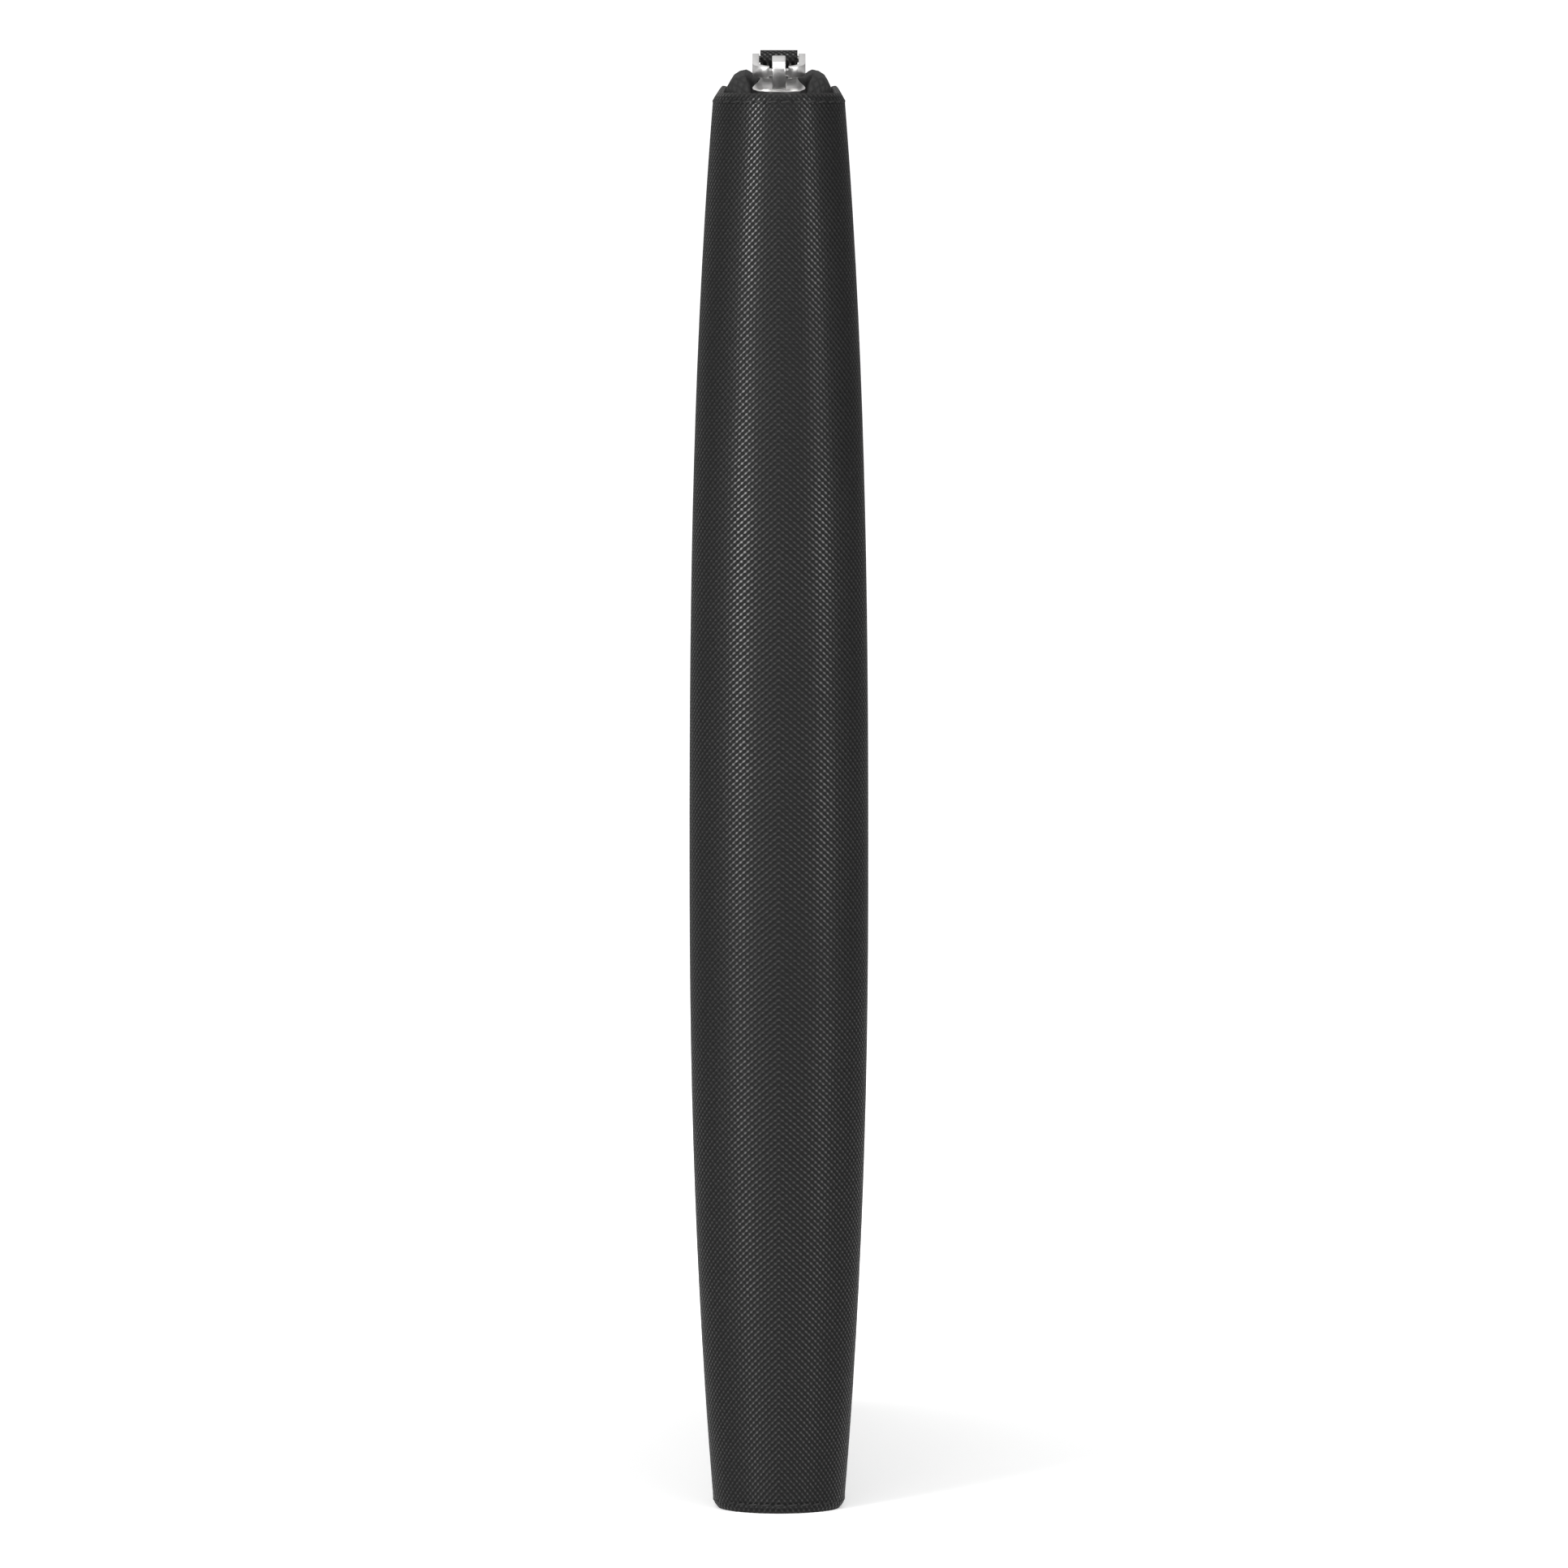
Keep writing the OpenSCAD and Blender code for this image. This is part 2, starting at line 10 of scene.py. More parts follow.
import bmesh
import bpy
from mathutils import Matrix, Vector
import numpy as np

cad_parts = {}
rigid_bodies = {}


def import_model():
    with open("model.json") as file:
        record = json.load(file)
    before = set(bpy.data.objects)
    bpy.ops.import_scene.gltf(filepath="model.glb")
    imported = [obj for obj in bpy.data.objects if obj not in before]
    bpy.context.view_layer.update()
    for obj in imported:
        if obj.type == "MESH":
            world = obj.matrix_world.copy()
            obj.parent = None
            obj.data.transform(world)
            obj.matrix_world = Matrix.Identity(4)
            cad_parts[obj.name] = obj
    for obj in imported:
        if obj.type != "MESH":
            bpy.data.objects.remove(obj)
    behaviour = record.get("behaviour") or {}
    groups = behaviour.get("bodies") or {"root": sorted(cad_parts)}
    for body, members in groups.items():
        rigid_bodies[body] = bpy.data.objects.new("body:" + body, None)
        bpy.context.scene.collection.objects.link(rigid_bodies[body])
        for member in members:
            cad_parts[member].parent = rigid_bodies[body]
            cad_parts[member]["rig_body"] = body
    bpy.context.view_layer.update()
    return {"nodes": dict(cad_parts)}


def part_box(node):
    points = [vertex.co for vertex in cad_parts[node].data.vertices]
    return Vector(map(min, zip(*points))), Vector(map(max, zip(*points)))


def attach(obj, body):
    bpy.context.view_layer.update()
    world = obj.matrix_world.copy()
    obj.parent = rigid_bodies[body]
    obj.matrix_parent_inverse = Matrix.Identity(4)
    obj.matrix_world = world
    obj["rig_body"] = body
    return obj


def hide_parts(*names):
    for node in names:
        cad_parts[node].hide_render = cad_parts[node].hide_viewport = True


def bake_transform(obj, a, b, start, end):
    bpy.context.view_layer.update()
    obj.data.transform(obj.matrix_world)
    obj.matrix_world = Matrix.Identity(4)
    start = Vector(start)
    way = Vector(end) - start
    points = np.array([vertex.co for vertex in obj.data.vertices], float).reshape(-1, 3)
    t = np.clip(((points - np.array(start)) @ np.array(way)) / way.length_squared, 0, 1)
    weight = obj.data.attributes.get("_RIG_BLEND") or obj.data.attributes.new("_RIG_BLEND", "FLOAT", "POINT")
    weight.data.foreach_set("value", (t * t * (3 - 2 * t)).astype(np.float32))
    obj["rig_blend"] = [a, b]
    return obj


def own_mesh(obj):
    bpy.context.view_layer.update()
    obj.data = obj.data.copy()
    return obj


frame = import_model()

LOG = logging.getLogger("pen_case")
Socket = bpy.types.NodeSocket
Mesh = bmesh.types.BMesh
Stuff = bpy.types.Material
Piece = bpy.types.Object
Vert = bmesh.types.BMVert
Laid = dict[Vert, tuple[float, float]]
Place = Callable[[int, int], tuple[Vector, tuple[float, float]]]
Line = Sequence[tuple[Vector, Vector]]
MM = 0.001
SURFACE_UV = "surface"
EDGE_GAP = "edge_gap"
PAPER_REACH = (-0.1, 0.5)  # Y in metres where the paper's lift starts and ends
PAPER_LIFT = (0.34, 0.8)
SOFT_LIGHTS = (  # name, degrees to the right, distance, height, size, power
    ("left_box", -38, 1.5, 0.45, (0.5, 1.4), 31.0),
    ("right_box", 46, 1.5, 0.45, (0.5, 1.4), 17.0),
    ("top_box", 12, 0.55, 1.3, (0.7, 0.4), 5.0),
)
FLAT_DEG = 1.5  # CAD faces that meet at less than this are merged
CORNER_DEG = 32  # CAD edges sharper than this are rounded
MIN_HEM = 0.1  # the least thickness of turned-in leather, in millimetres


def mix(a: float, b: float, share: float) -> float:
    """Goes from a to b as share goes from 0 to 1."""
    return a + (b - a) * share


def clamp01(value: float) -> float:
    """Keeps a number between 0 and 1."""
    return min(1.0, max(0.0, value))


def smooth(value: float) -> float:
    """Eases from 0 to 1."""
    v = clamp01(value)
    return v * v * (3 - 2 * v)


class Side(Enum):
    """A half of the case: its way along X, and its name."""

    BACK = (-1, "back")
    FRONT = (1, "front")

    @property
    def sign(self) -> int:
        """-1 for the back half, 1 for the front half."""
        return self.value[0]

    @property
    def label(self) -> str:
        """The word that starts the names of the half's pieces."""
        return self.value[1]

    @property
    def body(self) -> str:
        """The CAD body that the half's rigid pieces ride on."""
        return f"{self.label}_half"


class Zone(Enum):
    """Where a line of points up the skin lies."""

    SPINE = "degrees round the spine"
    COVER = "share of the way across the cover"
    RIM = "distance from the fore-edge"


@dataclass(frozen=True)
class SkinPoint:
    """A point on the leather: its place and normal in the half's own sense, and its run."""

    place: Vector
    normal: Vector
    run: float


@dataclass(frozen=True)
class CaseShape:
    """The case's curves, in millimetres, with Y from the spine's front."""

    front_y: float
    height: float
    depth: float
    rim_x: float = 11.5
    belly: float = 4.3
    belly_z: float = 112.0
    corner_r: float = 22.0
    spine_d: float = 11.0
    edge_round: float = 0.8
    rim_w: float = 7.0
    inner_x: float = 8.3

    @property
    def cover_y(self) -> float:
        """Where the covers start, behind the spine's curve."""
        return self.spine_d + 0.1

    @property
    def spine_run(self) -> float:
        """Length of leather from the spine's middle to a cover."""
        return math.pi / 2 * (self.rim_x + self.spine_d) / 2

    def at(self, x: float, y: float, z: float) -> Vector:
        """Turns the case's millimetres into the frame's metres."""
        return Vector((x, y + self.front_y, z)) * MM

    def put(self, p: Vector) -> Vector:
        """Turns a point in the case's millimetres into the frame's metres."""
        return self.at(p.x, p.y, p.z)

    def end_gap(self, z: float) -> float:
        """Distance of a height from the nearer end."""
        return min(z, self.height - z)

    def swell(self, z: float) -> float:
        """How far the covers belly out at a height."""
        up = z > self.belly_z
        span = self.height - self.belly_z if up else self.belly_z
        return self.belly * (1 - min(1.0, abs(z - self.belly_z) / span) ** (2.6 if up else 2.2))

    def fade(self, y: float) -> float:
        """How the belly dies away towards the fore-edge."""
        return 1 - clamp01((y - self.cover_y) / (self.depth - self.cover_y)) ** 2.2

    def edge_in(self, gap: float) -> float:
        """How far the surface draws back at a distance from its edge."""
        return self.edge_round * (1 - clamp01(gap / 1.6)) ** 2

    def end_drawn(self, turn_deg: float, z: float) -> float:
        """How far the spine's leather draws back near its ends, at degrees round the spine."""
        return self.edge_in(self.end_gap(z)) * mix(0.55, 1.0, turn_deg / 90)

    def fore_y(self, z: float, inset: float = 0.0) -> float:
        """The fore-edge's place at a height, round corners included."""
        r = self.corner_r - inset
        c = max(self.corner_r - z, z - self.height + self.corner_r, 0.0)
        return self.depth - self.corner_r + math.sqrt(max(0.0, r * r - c * c))

    def rim_out(self, y: float, z: float) -> Vector:
        """Unit direction out of the rim at its nearest point."""
        core_y = self.depth - self.corner_r
        low, high = self.corner_r, self.height - self.corner_r
        if y > core_y and not low < z < high:
            out = Vector((0, y - core_y, z - (low if z <= low else high)))
            return out.normalized() if out.length > 0 else Vector((0, 1, 0))
        if self.end_gap(z) < self.depth - y:
            return Vector((0, 0, -1 if z < self.height / 2 else 1))
        return Vector((0, 1, 0))

    def rim_gap(self, y: float, z: float) -> float:
        """Distance from the rim's outline."""
        core_y = self.depth - self.corner_r
        low, high = self.corner_r, self.height - self.corner_r
        if y > core_y and not low < z < high:
            return self.corner_r - math.hypot(y - core_y, z - (low if z <= low else high))
        return min(self.end_gap(z), self.depth - y)

    def cover_x(self, y: float, z: float) -> float:
        """The cover's outer face."""
        return self.rim_x + self.swell(z) * self.fade(y) - self.edge_in(max(0.0, self.rim_gap(y, z)))

    def skin(self, zone: Zone, value: float, z: float, depth: float = 0.0) -> SkinPoint:
        """Finds a point of the leather's outer face, or of a layer under it.

        Args:
            zone: The part of the skin that value is measured in.
            value: Degrees round the spine, share across the cover, or distance from the fore-edge.
            z: Height.
            depth: How deep the layer lies.

        Returns:
            The point, with its normal and its run from the spine's middle.
        """
        if zone is Zone.SPINE:
            turn = math.radians(value)
            drawn = self.end_drawn(value, z) if depth == 0 else 0.0
            w = self.rim_x + self.swell(z) - drawn - depth
            d = self.spine_d - drawn - depth
            place = Vector((w * math.sin(turn), self.spine_d - d * math.cos(turn), z))
            normal = Vector((math.sin(turn) / w, -math.cos(turn) / d, 0)).normalized()
            return SkinPoint(place, normal, self.spine_run * value / 90)
        last = self.fore_y(z)
        y = mix(self.cover_y, last - self.rim_w, value) if zone is Zone.COVER else last - value
        place = Vector((self.cover_x(y, z) - depth, y, z))
        return SkinPoint(place, Vector((1, 0, 0)), self.spine_run + y - self.spine_d)


@dataclass(frozen=True)
class ZipRoute:
    """The zip's way round the rims, from the spine's upper end to its lower end."""

    shape: CaseShape
    start_y: float = 11.4
    crest: float = 2.8
    chain: float = 1.9
    dip_run: float = 24.0
    dip: float = -2.9
    low_crest: float = -0.6
    low_chain: float = -1.5
    press_run: float = 25.0
    pitch: float = 2.4
    tape_x: float = 9.1
    tape_edge: float = 2.4

    @property
    def top_run(self) -> float:
        """Length along the upper edge."""
        return self.shape.depth - self.shape.corner_r - self.start_y

    @property
    def arc_run(self) -> float:
        """Length round one corner."""
        return math.pi / 2 * self.shape.corner_r

    @property
    def side_run(self) -> float:
        """Length down the fore-edge."""
        return self.shape.height - 2 * self.shape.corner_r

    @property
    def length(self) -> float:
        """The whole run."""
        return 2 * self.top_run + 2 * self.arc_run + self.side_run

    @property
    def press_start(self) -> float:
        """Where the zip starts to press in under the case."""
        return self.top_run + self.arc_run + self.side_run - self.press_run

    def rim_at(self, t: float) -> tuple[float, float, float]:
        """The rim's place and outward direction, in degrees, at a run t."""
        s = self.shape
        a = self.top_run + self.arc_run
        b = a + self.side_run
        if t <= self.top_run:
            return self.start_y + t, s.height, 90.0
        if t < a or b < t < b + self.arc_run:
            upper = t < a
            turn = 90 - (t - self.top_run) * 90 / self.arc_run if upper else -(t - b) * 90 / self.arc_run
            core_z = s.height - s.corner_r if upper else s.corner_r
            f = math.radians(turn)
            return (
                s.depth - s.corner_r + s.corner_r * math.cos(f),
                core_z + s.corner_r * math.sin(f),
                turn,
            )
        if t <= b:
            return s.depth, s.height - s.corner_r - (t - a), 0.0
        return s.depth - s.corner_r - (t - b - self.arc_run), 0.0, -90.0

    def pressed(self, t: float) -> float:
        """0 where the zip stands out, 1 where it is pressed in."""
        return smooth((t - self.press_start) / self.press_run)

    def crest_at(self, t: float) -> float:
        """How far the tape's shoulder stands out at t."""
        return mix(self.crest, self.low_crest, self.pressed(t))

    def chain_at(self, t: float) -> float:
        """How far the chain stands out at t."""
        return mix(mix(self.dip, self.chain, smooth(t / self.dip_run)), self.low_chain, self.pressed(t))

    def tape_line(self, t: float) -> list[tuple[float, float]]:
        """The tape's section at t, from its sewn edge to its beaded edge."""
        c, m, x = self.crest_at(t), self.chain_at(t), self.tape_x
        return [
            (x, -6.0),
            (x, -3.0),
            (x, -0.3),
            (x - 0.1, 0.1 * c),
            (x - 0.25, 0.36 * c),
            (x - 0.8, 0.68 * c),
            (x - 1.8, 0.91 * c),
            (6.2, c),
            (5.6, mix(c, m, 0.35)),
            (5.0, mix(c, m, 0.85)),
            (4.4, m),
            (3.2, m),
            (self.tape_edge, m),
        ]

    def chain_matrix(self, t: float) -> Matrix:
        """The frame of the chain at t: +Y along the run, +Z out of the case, in metres."""
        y, z, turn = self.rim_at(t)
        n = self.chain_at(t)
        f = math.radians(turn)
        slope = math.atan(self.chain_at(t + 0.5) - self.chain_at(t - 0.5))
        place = self.shape.at(0, y + n * math.cos(f), z + n * math.sin(f))
        return Matrix.Translation(place) @ Matrix.Rotation(f - math.pi / 2 + slope, 4, "X")


# --- materials ---


class Tree:
    """A node tree that is filled from left to right."""

    def __init__(self, tree: bpy.types.NodeTree) -> None:
        """Empties the tree and starts it."""
        self.tree = tree
        tree.nodes.clear()
        self.count = 0

    def node(self, kind: str, inputs: dict | None = None, **settings: object) -> bpy.types.Node:
        """Adds a node.

        Args:
            kind: The node's type, without its ShaderNode prefix.
            inputs: Values or sockets, by input name or number.
            settings: The node's own settings.

        Returns:
            The new node.
        """
        made = self.tree.nodes.new(kind if kind.startswith("Node") else f"ShaderNode{kind}")
        made.location = (self.count * 180, 0)
        self.count += 1
        for name, value in settings.items():
            setattr(made, name, value)
        for name, value in (inputs or {}).items():
            if isinstance(value, Socket):
                self.tree.links.new(value, made.inputs[name])
            else:
                made.inputs[name].default_value = value
        return made

    def math(self, operation: str, *values: object) -> Socket:
        """Adds a sum and returns its result."""
        return self.node("Math", dict(enumerate(values)), operation=operation).outputs[0]

    def blend_colours(self, share: object, a: object, b: object) -> Socket:
        """Mixes two colours and returns the mixture."""
        made = self.node("Mix", {0: share, 6: a, 7: b}, data_type="RGBA")
        return made.outputs[2]

    def spread(
        self, value: object, low: float, high: float, to_low: float, to_high: float
    ) -> Socket:
        """Maps low..high onto to_low..to_high."""
        inputs = {0: value, 1: low, 2: high, 3: to_low, 4: to_high}
        return self.node("MapRange", inputs).outputs[0]


@dataclass(frozen=True)
class Effect:
    """A shader group: its name, inputs with their defaults, and outputs."""

    name: str
    inputs: tuple[tuple[str, str, float], ...]
    outputs: tuple[str, ...]
    fill: Callable[[Tree, bpy.types.Node], dict[str, Socket]]

    def group(self) -> bpy.types.NodeTree:
        """Builds the group once, and returns it."""
        found = bpy.data.node_groups.get(self.name)
        if found:
            return found
        made = bpy.data.node_groups.new(self.name, "ShaderNodeTree")
        for name, kind, default in self.inputs:
            socket = made.interface.new_socket(name=name, in_out="INPUT", socket_type=kind)
            if kind == "NodeSocketFloat":
                socket.default_value = default
        for name in self.outputs:
            made.interface.new_socket(name=name, in_out="OUTPUT", socket_type="NodeSocketFloat")
        tree = Tree(made)
        results = self.fill(tree, tree.node("NodeGroupInput"))
        tree.node("NodeGroupOutput", dict(results))
        return made

    def place(self, tree: Tree, **inputs: object) -> bpy.types.Node:
        """Puts the group in a material, with spaces for the underscores of its input names."""
        named = {name.replace("_", " "): value for name, value in inputs.items()}
        return tree.node("Group", named, node_tree=self.group())


def fill_cross_hatch(tree: Tree, given: bpy.types.Node) -> dict[str, Socket]:
    """Two sets of pressed slanting lines that wander a little, with beads where they cross."""
    place = tree.node("CombineXYZ", {0: given.outputs["Along"], 1: given.outputs["Across"]}).outputs[0]
    wander = tree.node("TexNoise", {"Vector": place, "Scale": 0.35, "Detail": 3.0}).outputs[0]
    shift = tree.math("MULTIPLY", tree.math("SUBTRACT", wander, 0.5), given.outputs["Wander"])
    a = tree.math("ADD", tree.math("DIVIDE", given.outputs["Along"], given.outputs["Pitch Along"]), shift)
    b = tree.math("DIVIDE", given.outputs["Across"], given.outputs["Pitch Across"])
    patchy = tree.node("TexNoise", {"Vector": place, "Scale": 1.3, "Detail": 2.0}).outputs[0]
    lines = []
    for way in ("ADD", "SUBTRACT"):
        turn = tree.math("MULTIPLY", tree.math(way, a, b), math.pi)
        wave = tree.math("ABSOLUTE", tree.math("COSINE", turn))
        lines.append(tree.math("POWER", wave, 2.4))
    strong = tree.math("MULTIPLY", lines[0], tree.spread(patchy, 0.3, 0.7, 0.75, 1.05))
    weak = tree.math("MULTIPLY", lines[1], tree.spread(patchy, 0.3, 0.7, 0.8, 0.45))
    beads = tree.math("MULTIPLY", strong, weak)
    ridge = tree.math("MAXIMUM", strong, weak)
    fine = tree.node("TexNoise", {"Vector": place, "Scale": 5.0, "Detail": 2.0}).outputs[0]
    height = tree.math("ADD", tree.math("MULTIPLY", ridge, 0.6), tree.math("MULTIPLY", beads, 0.75))
    height = tree.math("ADD", height, tree.math("MULTIPLY", fine, 0.22))
    return {"Height": height, "Ridge": tree.spread(height, 0.25, 1.0, 0.0, 1.0)}


def fill_weave(tree: Tree, given: bpy.types.Node) -> dict[str, Socket]:
    """Plain weave: threads that pass over and under each other."""
    a = tree.math("MULTIPLY", tree.math("DIVIDE", given.outputs["Along"], given.outputs["Pitch"]), math.pi)
    b = tree.math("MULTIPLY", tree.math("DIVIDE", given.outputs["Across"], given.outputs["Pitch"]), math.pi)
    over = tree.math("MULTIPLY", tree.math("SINE", a), tree.math("SINE", b))
    round_a = tree.math("ABSOLUTE", tree.math("SINE", a))
    round_b = tree.math("ABSOLUTE", tree.math("SINE", b))
    threads = tree.math("MAXIMUM", round_a, round_b)
    place = tree.node("CombineXYZ", {0: given.outputs["Along"], 1: given.outputs["Across"]}).outputs[0]
    fuzz = tree.node("TexNoise", {"Vector": place, "Scale": 4.0, "Detail": 3.0}).outputs[0]
    height = tree.math("ADD", tree.math("MULTIPLY", over, 0.35), tree.math("MULTIPLY", threads, 0.4))
    height = tree.math("ADD", height, tree.math("MULTIPLY", fuzz, 0.3))
    return {"Height": height, "Threads": tree.spread(height, 0.0, 1.0, 0.0, 1.0)}


def fill_mottle(tree: Tree, given: bpy.types.Node) -> dict[str, Socket]:
    """Slow cloudy variation and fine specks, for colour and gloss."""
    place = given.outputs["Place"]
    cloud = tree.node("TexNoise", {"Vector": place, "Scale": 25.0, "Detail": 4.0}).outputs[0]
    speck = tree.node("TexNoise", {"Vector": place, "Scale": 900.0, "Detail": 2.0}).outputs[0]
    both = tree.math("ADD", tree.math("MULTIPLY", cloud, 0.7), tree.math("MULTIPLY", speck, 0.3))
    return {"Cloud": tree.spread(both, 0.35, 0.65, 0.0, 1.0)}


def fill_pebble(tree: Tree, given: bpy.types.Node) -> dict[str, Socket]:
    """The rounded pebbles of a natural grain."""
    place = given.outputs["Place"]
    cells = tree.node("TexVoronoi", {"Vector": place, "Scale": given.outputs["Scale"]}).outputs[0]
    warp = tree.node("TexNoise", {"Vector": place, "Scale": 1500.0, "Detail": 3.0}).outputs[0]
    height = tree.math("ADD", tree.math("MULTIPLY", cells, -0.7), tree.math("MULTIPLY", warp, 0.4))
    return {"Height": height, "Hollow": tree.spread(cells, 0.3, 0.8, 0.0, 1.0)}


FLOAT, VECTOR = "NodeSocketFloat", "NodeSocketVector"
CROSS_HATCH = Effect(
    "cross_hatch",
    (
        ("Along", FLOAT, 0.0),
        ("Across", FLOAT, 0.0),
        ("Pitch Along", FLOAT, 1.0),
        ("Pitch Across", FLOAT, 1.15),
        ("Wander", FLOAT, 0.25),
    ),
    ("Height", "Ridge"),
    fill_cross_hatch,
)
WEAVE = Effect(
    "weave",
    (("Along", FLOAT, 0.0), ("Across", FLOAT, 0.0), ("Pitch", FLOAT, 0.4)),
    ("Height", "Threads"),
    fill_weave,
)
MOTTLE = Effect("mottle", (("Place", VECTOR, 0.0),), ("Cloud",), fill_mottle)
PEBBLE = Effect(
    "pebble", (("Place", VECTOR, 0.0), ("Scale", FLOAT, 1100.0)), ("Height", "Hollow"), fill_pebble
)

Colour = tuple[float, float, float, float]


def grey(value: float, warm: float = 0.0) -> Colour:
    """A grey, a little warm or cool."""
    return (value * (1 + warm), value, value * (1 - warm), 1.0)


class Lay(Enum):
    """How a pattern lies on a piece."""

    SURFACE = "along the piece's own surface"
    PLAN = "across X, and over Y and Z"


def start_material(name: str) -> tuple[Stuff, Tree, bpy.types.Node]:
    """Makes an empty material with its tree and its Principled shader."""
    made = bpy.data.materials.new(name)
    made.use_nodes = True
    tree = Tree(made.node_tree)
    shader = tree.node("BsdfPrincipled")
    tree.node("OutputMaterial", {"Surface": shader.outputs[0]})
    return made, tree, shader


def pattern_place(tree: Tree, lay: Lay) -> tuple[Socket, Socket, Socket]:
    """The pattern's two coordinates in millimetres, and the object's own coordinates."""
    own = tree.node("TexCoord").outputs["Object"]
    if lay is Lay.SURFACE:
        uv = tree.node("UVMap", uv_map=SURFACE_UV).outputs[0]
        parts = tree.node("SeparateXYZ", {0: uv})
        return parts.outputs[0], parts.outputs[1], own
    parts = tree.node("SeparateXYZ", {0: own})
    along = tree.math("MULTIPLY", parts.outputs[0], 1 / MM)
    across = tree.math("MULTIPLY", tree.math("ADD", parts.outputs[1], parts.outputs[2]), 1 / MM)
    return along, across, own


def finish_shader(
    tree: Tree, shader: bpy.types.Node, colour: Socket, rough: Socket, height: Socket, relief: float,
    strength: float = 1.0,
) -> None:
    """Links a finish's colour, roughness and relief, in metres, to its shader."""
    bump = tree.node("Bump", {"Strength": strength, "Distance": relief, "Height": height})
    for value, name in ((colour, "Base Color"), (rough, "Roughness"), (bump.outputs[0], "Normal")):
        tree.tree.links.new(value, shader.inputs[name])


@dataclass(frozen=True)
class CrossHatchLeather:
    """Black leather pressed with a fine slanting cross-hatch under a thin finish."""

    name: str
    lay: Lay
    pit: float = 0.003
    ridge: float = 0.009
    relief: float = 0.00015
    sheen: float = 1.0
    pitch_along: float = 1.0
    pitch_across: float = 1.15
    groove_at: float = 1.5
    groove_half: float = 0.5

    def material(self) -> Stuff:
        """Builds the material."""
        made, tree, shader = start_material(self.name)
        along, across, own = pattern_place(tree, self.lay)
        hatch = CROSS_HATCH.place(
            tree, Along=along, Across=across, Pitch_Along=self.pitch_along, Pitch_Across=self.pitch_across
        )
        mottle = MOTTLE.place(tree, Place=own)
        ridge = hatch.outputs["Ridge"]
        cloud = mottle.outputs["Cloud"]
        # colour: the pressed hollows (pit) are painted darker than the ridges, partly the grain and partly
        # painted shade in the hollows
        top = tree.blend_colours(cloud, grey(self.ridge * 0.8), grey(self.ridge * 1.2, 0.02))
        colour = tree.blend_colours(ridge, grey(self.pit, -0.02), top)
        height = hatch.outputs["Height"]
        if self.lay is Lay.SURFACE:
            gap = tree.node("Attribute", attribute_name=EDGE_GAP).outputs["Fac"]
            off = tree.math("ABSOLUTE", tree.math("SUBTRACT", gap, self.groove_at))
            groove = tree.spread(off, 0.0, self.groove_half, 1.0, 0.0)
            worn = tree.spread(gap, 0.0, 0.7, 0.5, 0.0)
            height = tree.math("SUBTRACT", height, tree.math("MULTIPLY", groove, 1.6))
            height = tree.math("SUBTRACT", height, tree.math("MULTIPLY", worn, 0.8))
            # painted shade: the stitch groove is darkened in colour as shade that falls in it; its dip comes
            # from the bump above
            colour = tree.blend_colours(tree.math("MULTIPLY", groove, 0.75), colour, grey(0.004))
            colour = tree.blend_colours(worn, colour, grey(0.03, 0.03))
        polish = tree.spread(ridge, 0.42, 0.95, 0.0, self.sheen)
        patchy = tree.spread(mottle.outputs["Cloud"], 0.2, 0.8, 0.6, 1.1)
        tree.tree.links.new(tree.math("MULTIPLY", polish, patchy), shader.inputs["Coat Weight"])
        shader.inputs["Coat Roughness"].default_value = 0.28
        shader.inputs["Specular IOR Level"].default_value = 0.18
        rough = tree.spread(ridge, 0.0, 1.0, 0.6, 0.36)
        rough = tree.math("ADD", rough, tree.spread(mottle.outputs["Cloud"], 0.0, 1.0, -0.05, 0.06))
        finish_shader(tree, shader, colour, rough, height, self.relief)
        return made


@dataclass(frozen=True)
class SmoothLeather:
    """Soft calf leather with a natural pebble."""

    name: str
    colour: float = 0.018
    relief: float = 0.00005

    def material(self) -> Stuff:
        """Builds the material."""
        made, tree, shader = start_material(self.name)
        own = tree.node("TexCoord").outputs["Object"]
        pebble = PEBBLE.place(tree, Place=own)
        mottle = MOTTLE.place(tree, Place=own)
        cloud = mottle.outputs["Cloud"]
        top = tree.blend_colours(cloud, grey(self.colour * 0.75), grey(self.colour * 1.3, 0.03))
        colour = tree.blend_colours(pebble.outputs["Hollow"], top, grey(self.colour * 0.4))
        rough = tree.spread(mottle.outputs["Cloud"], 0.0, 1.0, 0.42, 0.58)
        finish_shader(tree, shader, colour, rough, pebble.outputs["Height"], self.relief)
        return made


@dataclass(frozen=True)
class WovenCloth:
    """A plain woven cloth or tape."""

    name: str
    lay: Lay
    dark: float
    light: float
    pitch: float
    relief: float = 0.00012

    def material(self) -> Stuff:
        """Builds the material."""
        made, tree, shader = start_material(self.name)
        along, across, own = pattern_place(tree, self.lay)
        weave = WEAVE.place(tree, Along=along, Across=across, Pitch=self.pitch)
        mottle = MOTTLE.place(tree, Place=own)
        colour = tree.blend_colours(weave.outputs["Threads"], grey(self.dark), grey(self.light, 0.02))
        colour = tree.blend_colours(
            tree.math("MULTIPLY", mottle.outputs["Cloud"], 0.35), colour, grey(self.light * 1.4, -0.02)
        )
        rough = tree.spread(weave.outputs["Threads"], 0.0, 1.0, 0.95, 0.72)
        finish_shader(tree, shader, colour, rough, weave.outputs["Height"], self.relief)
        return made


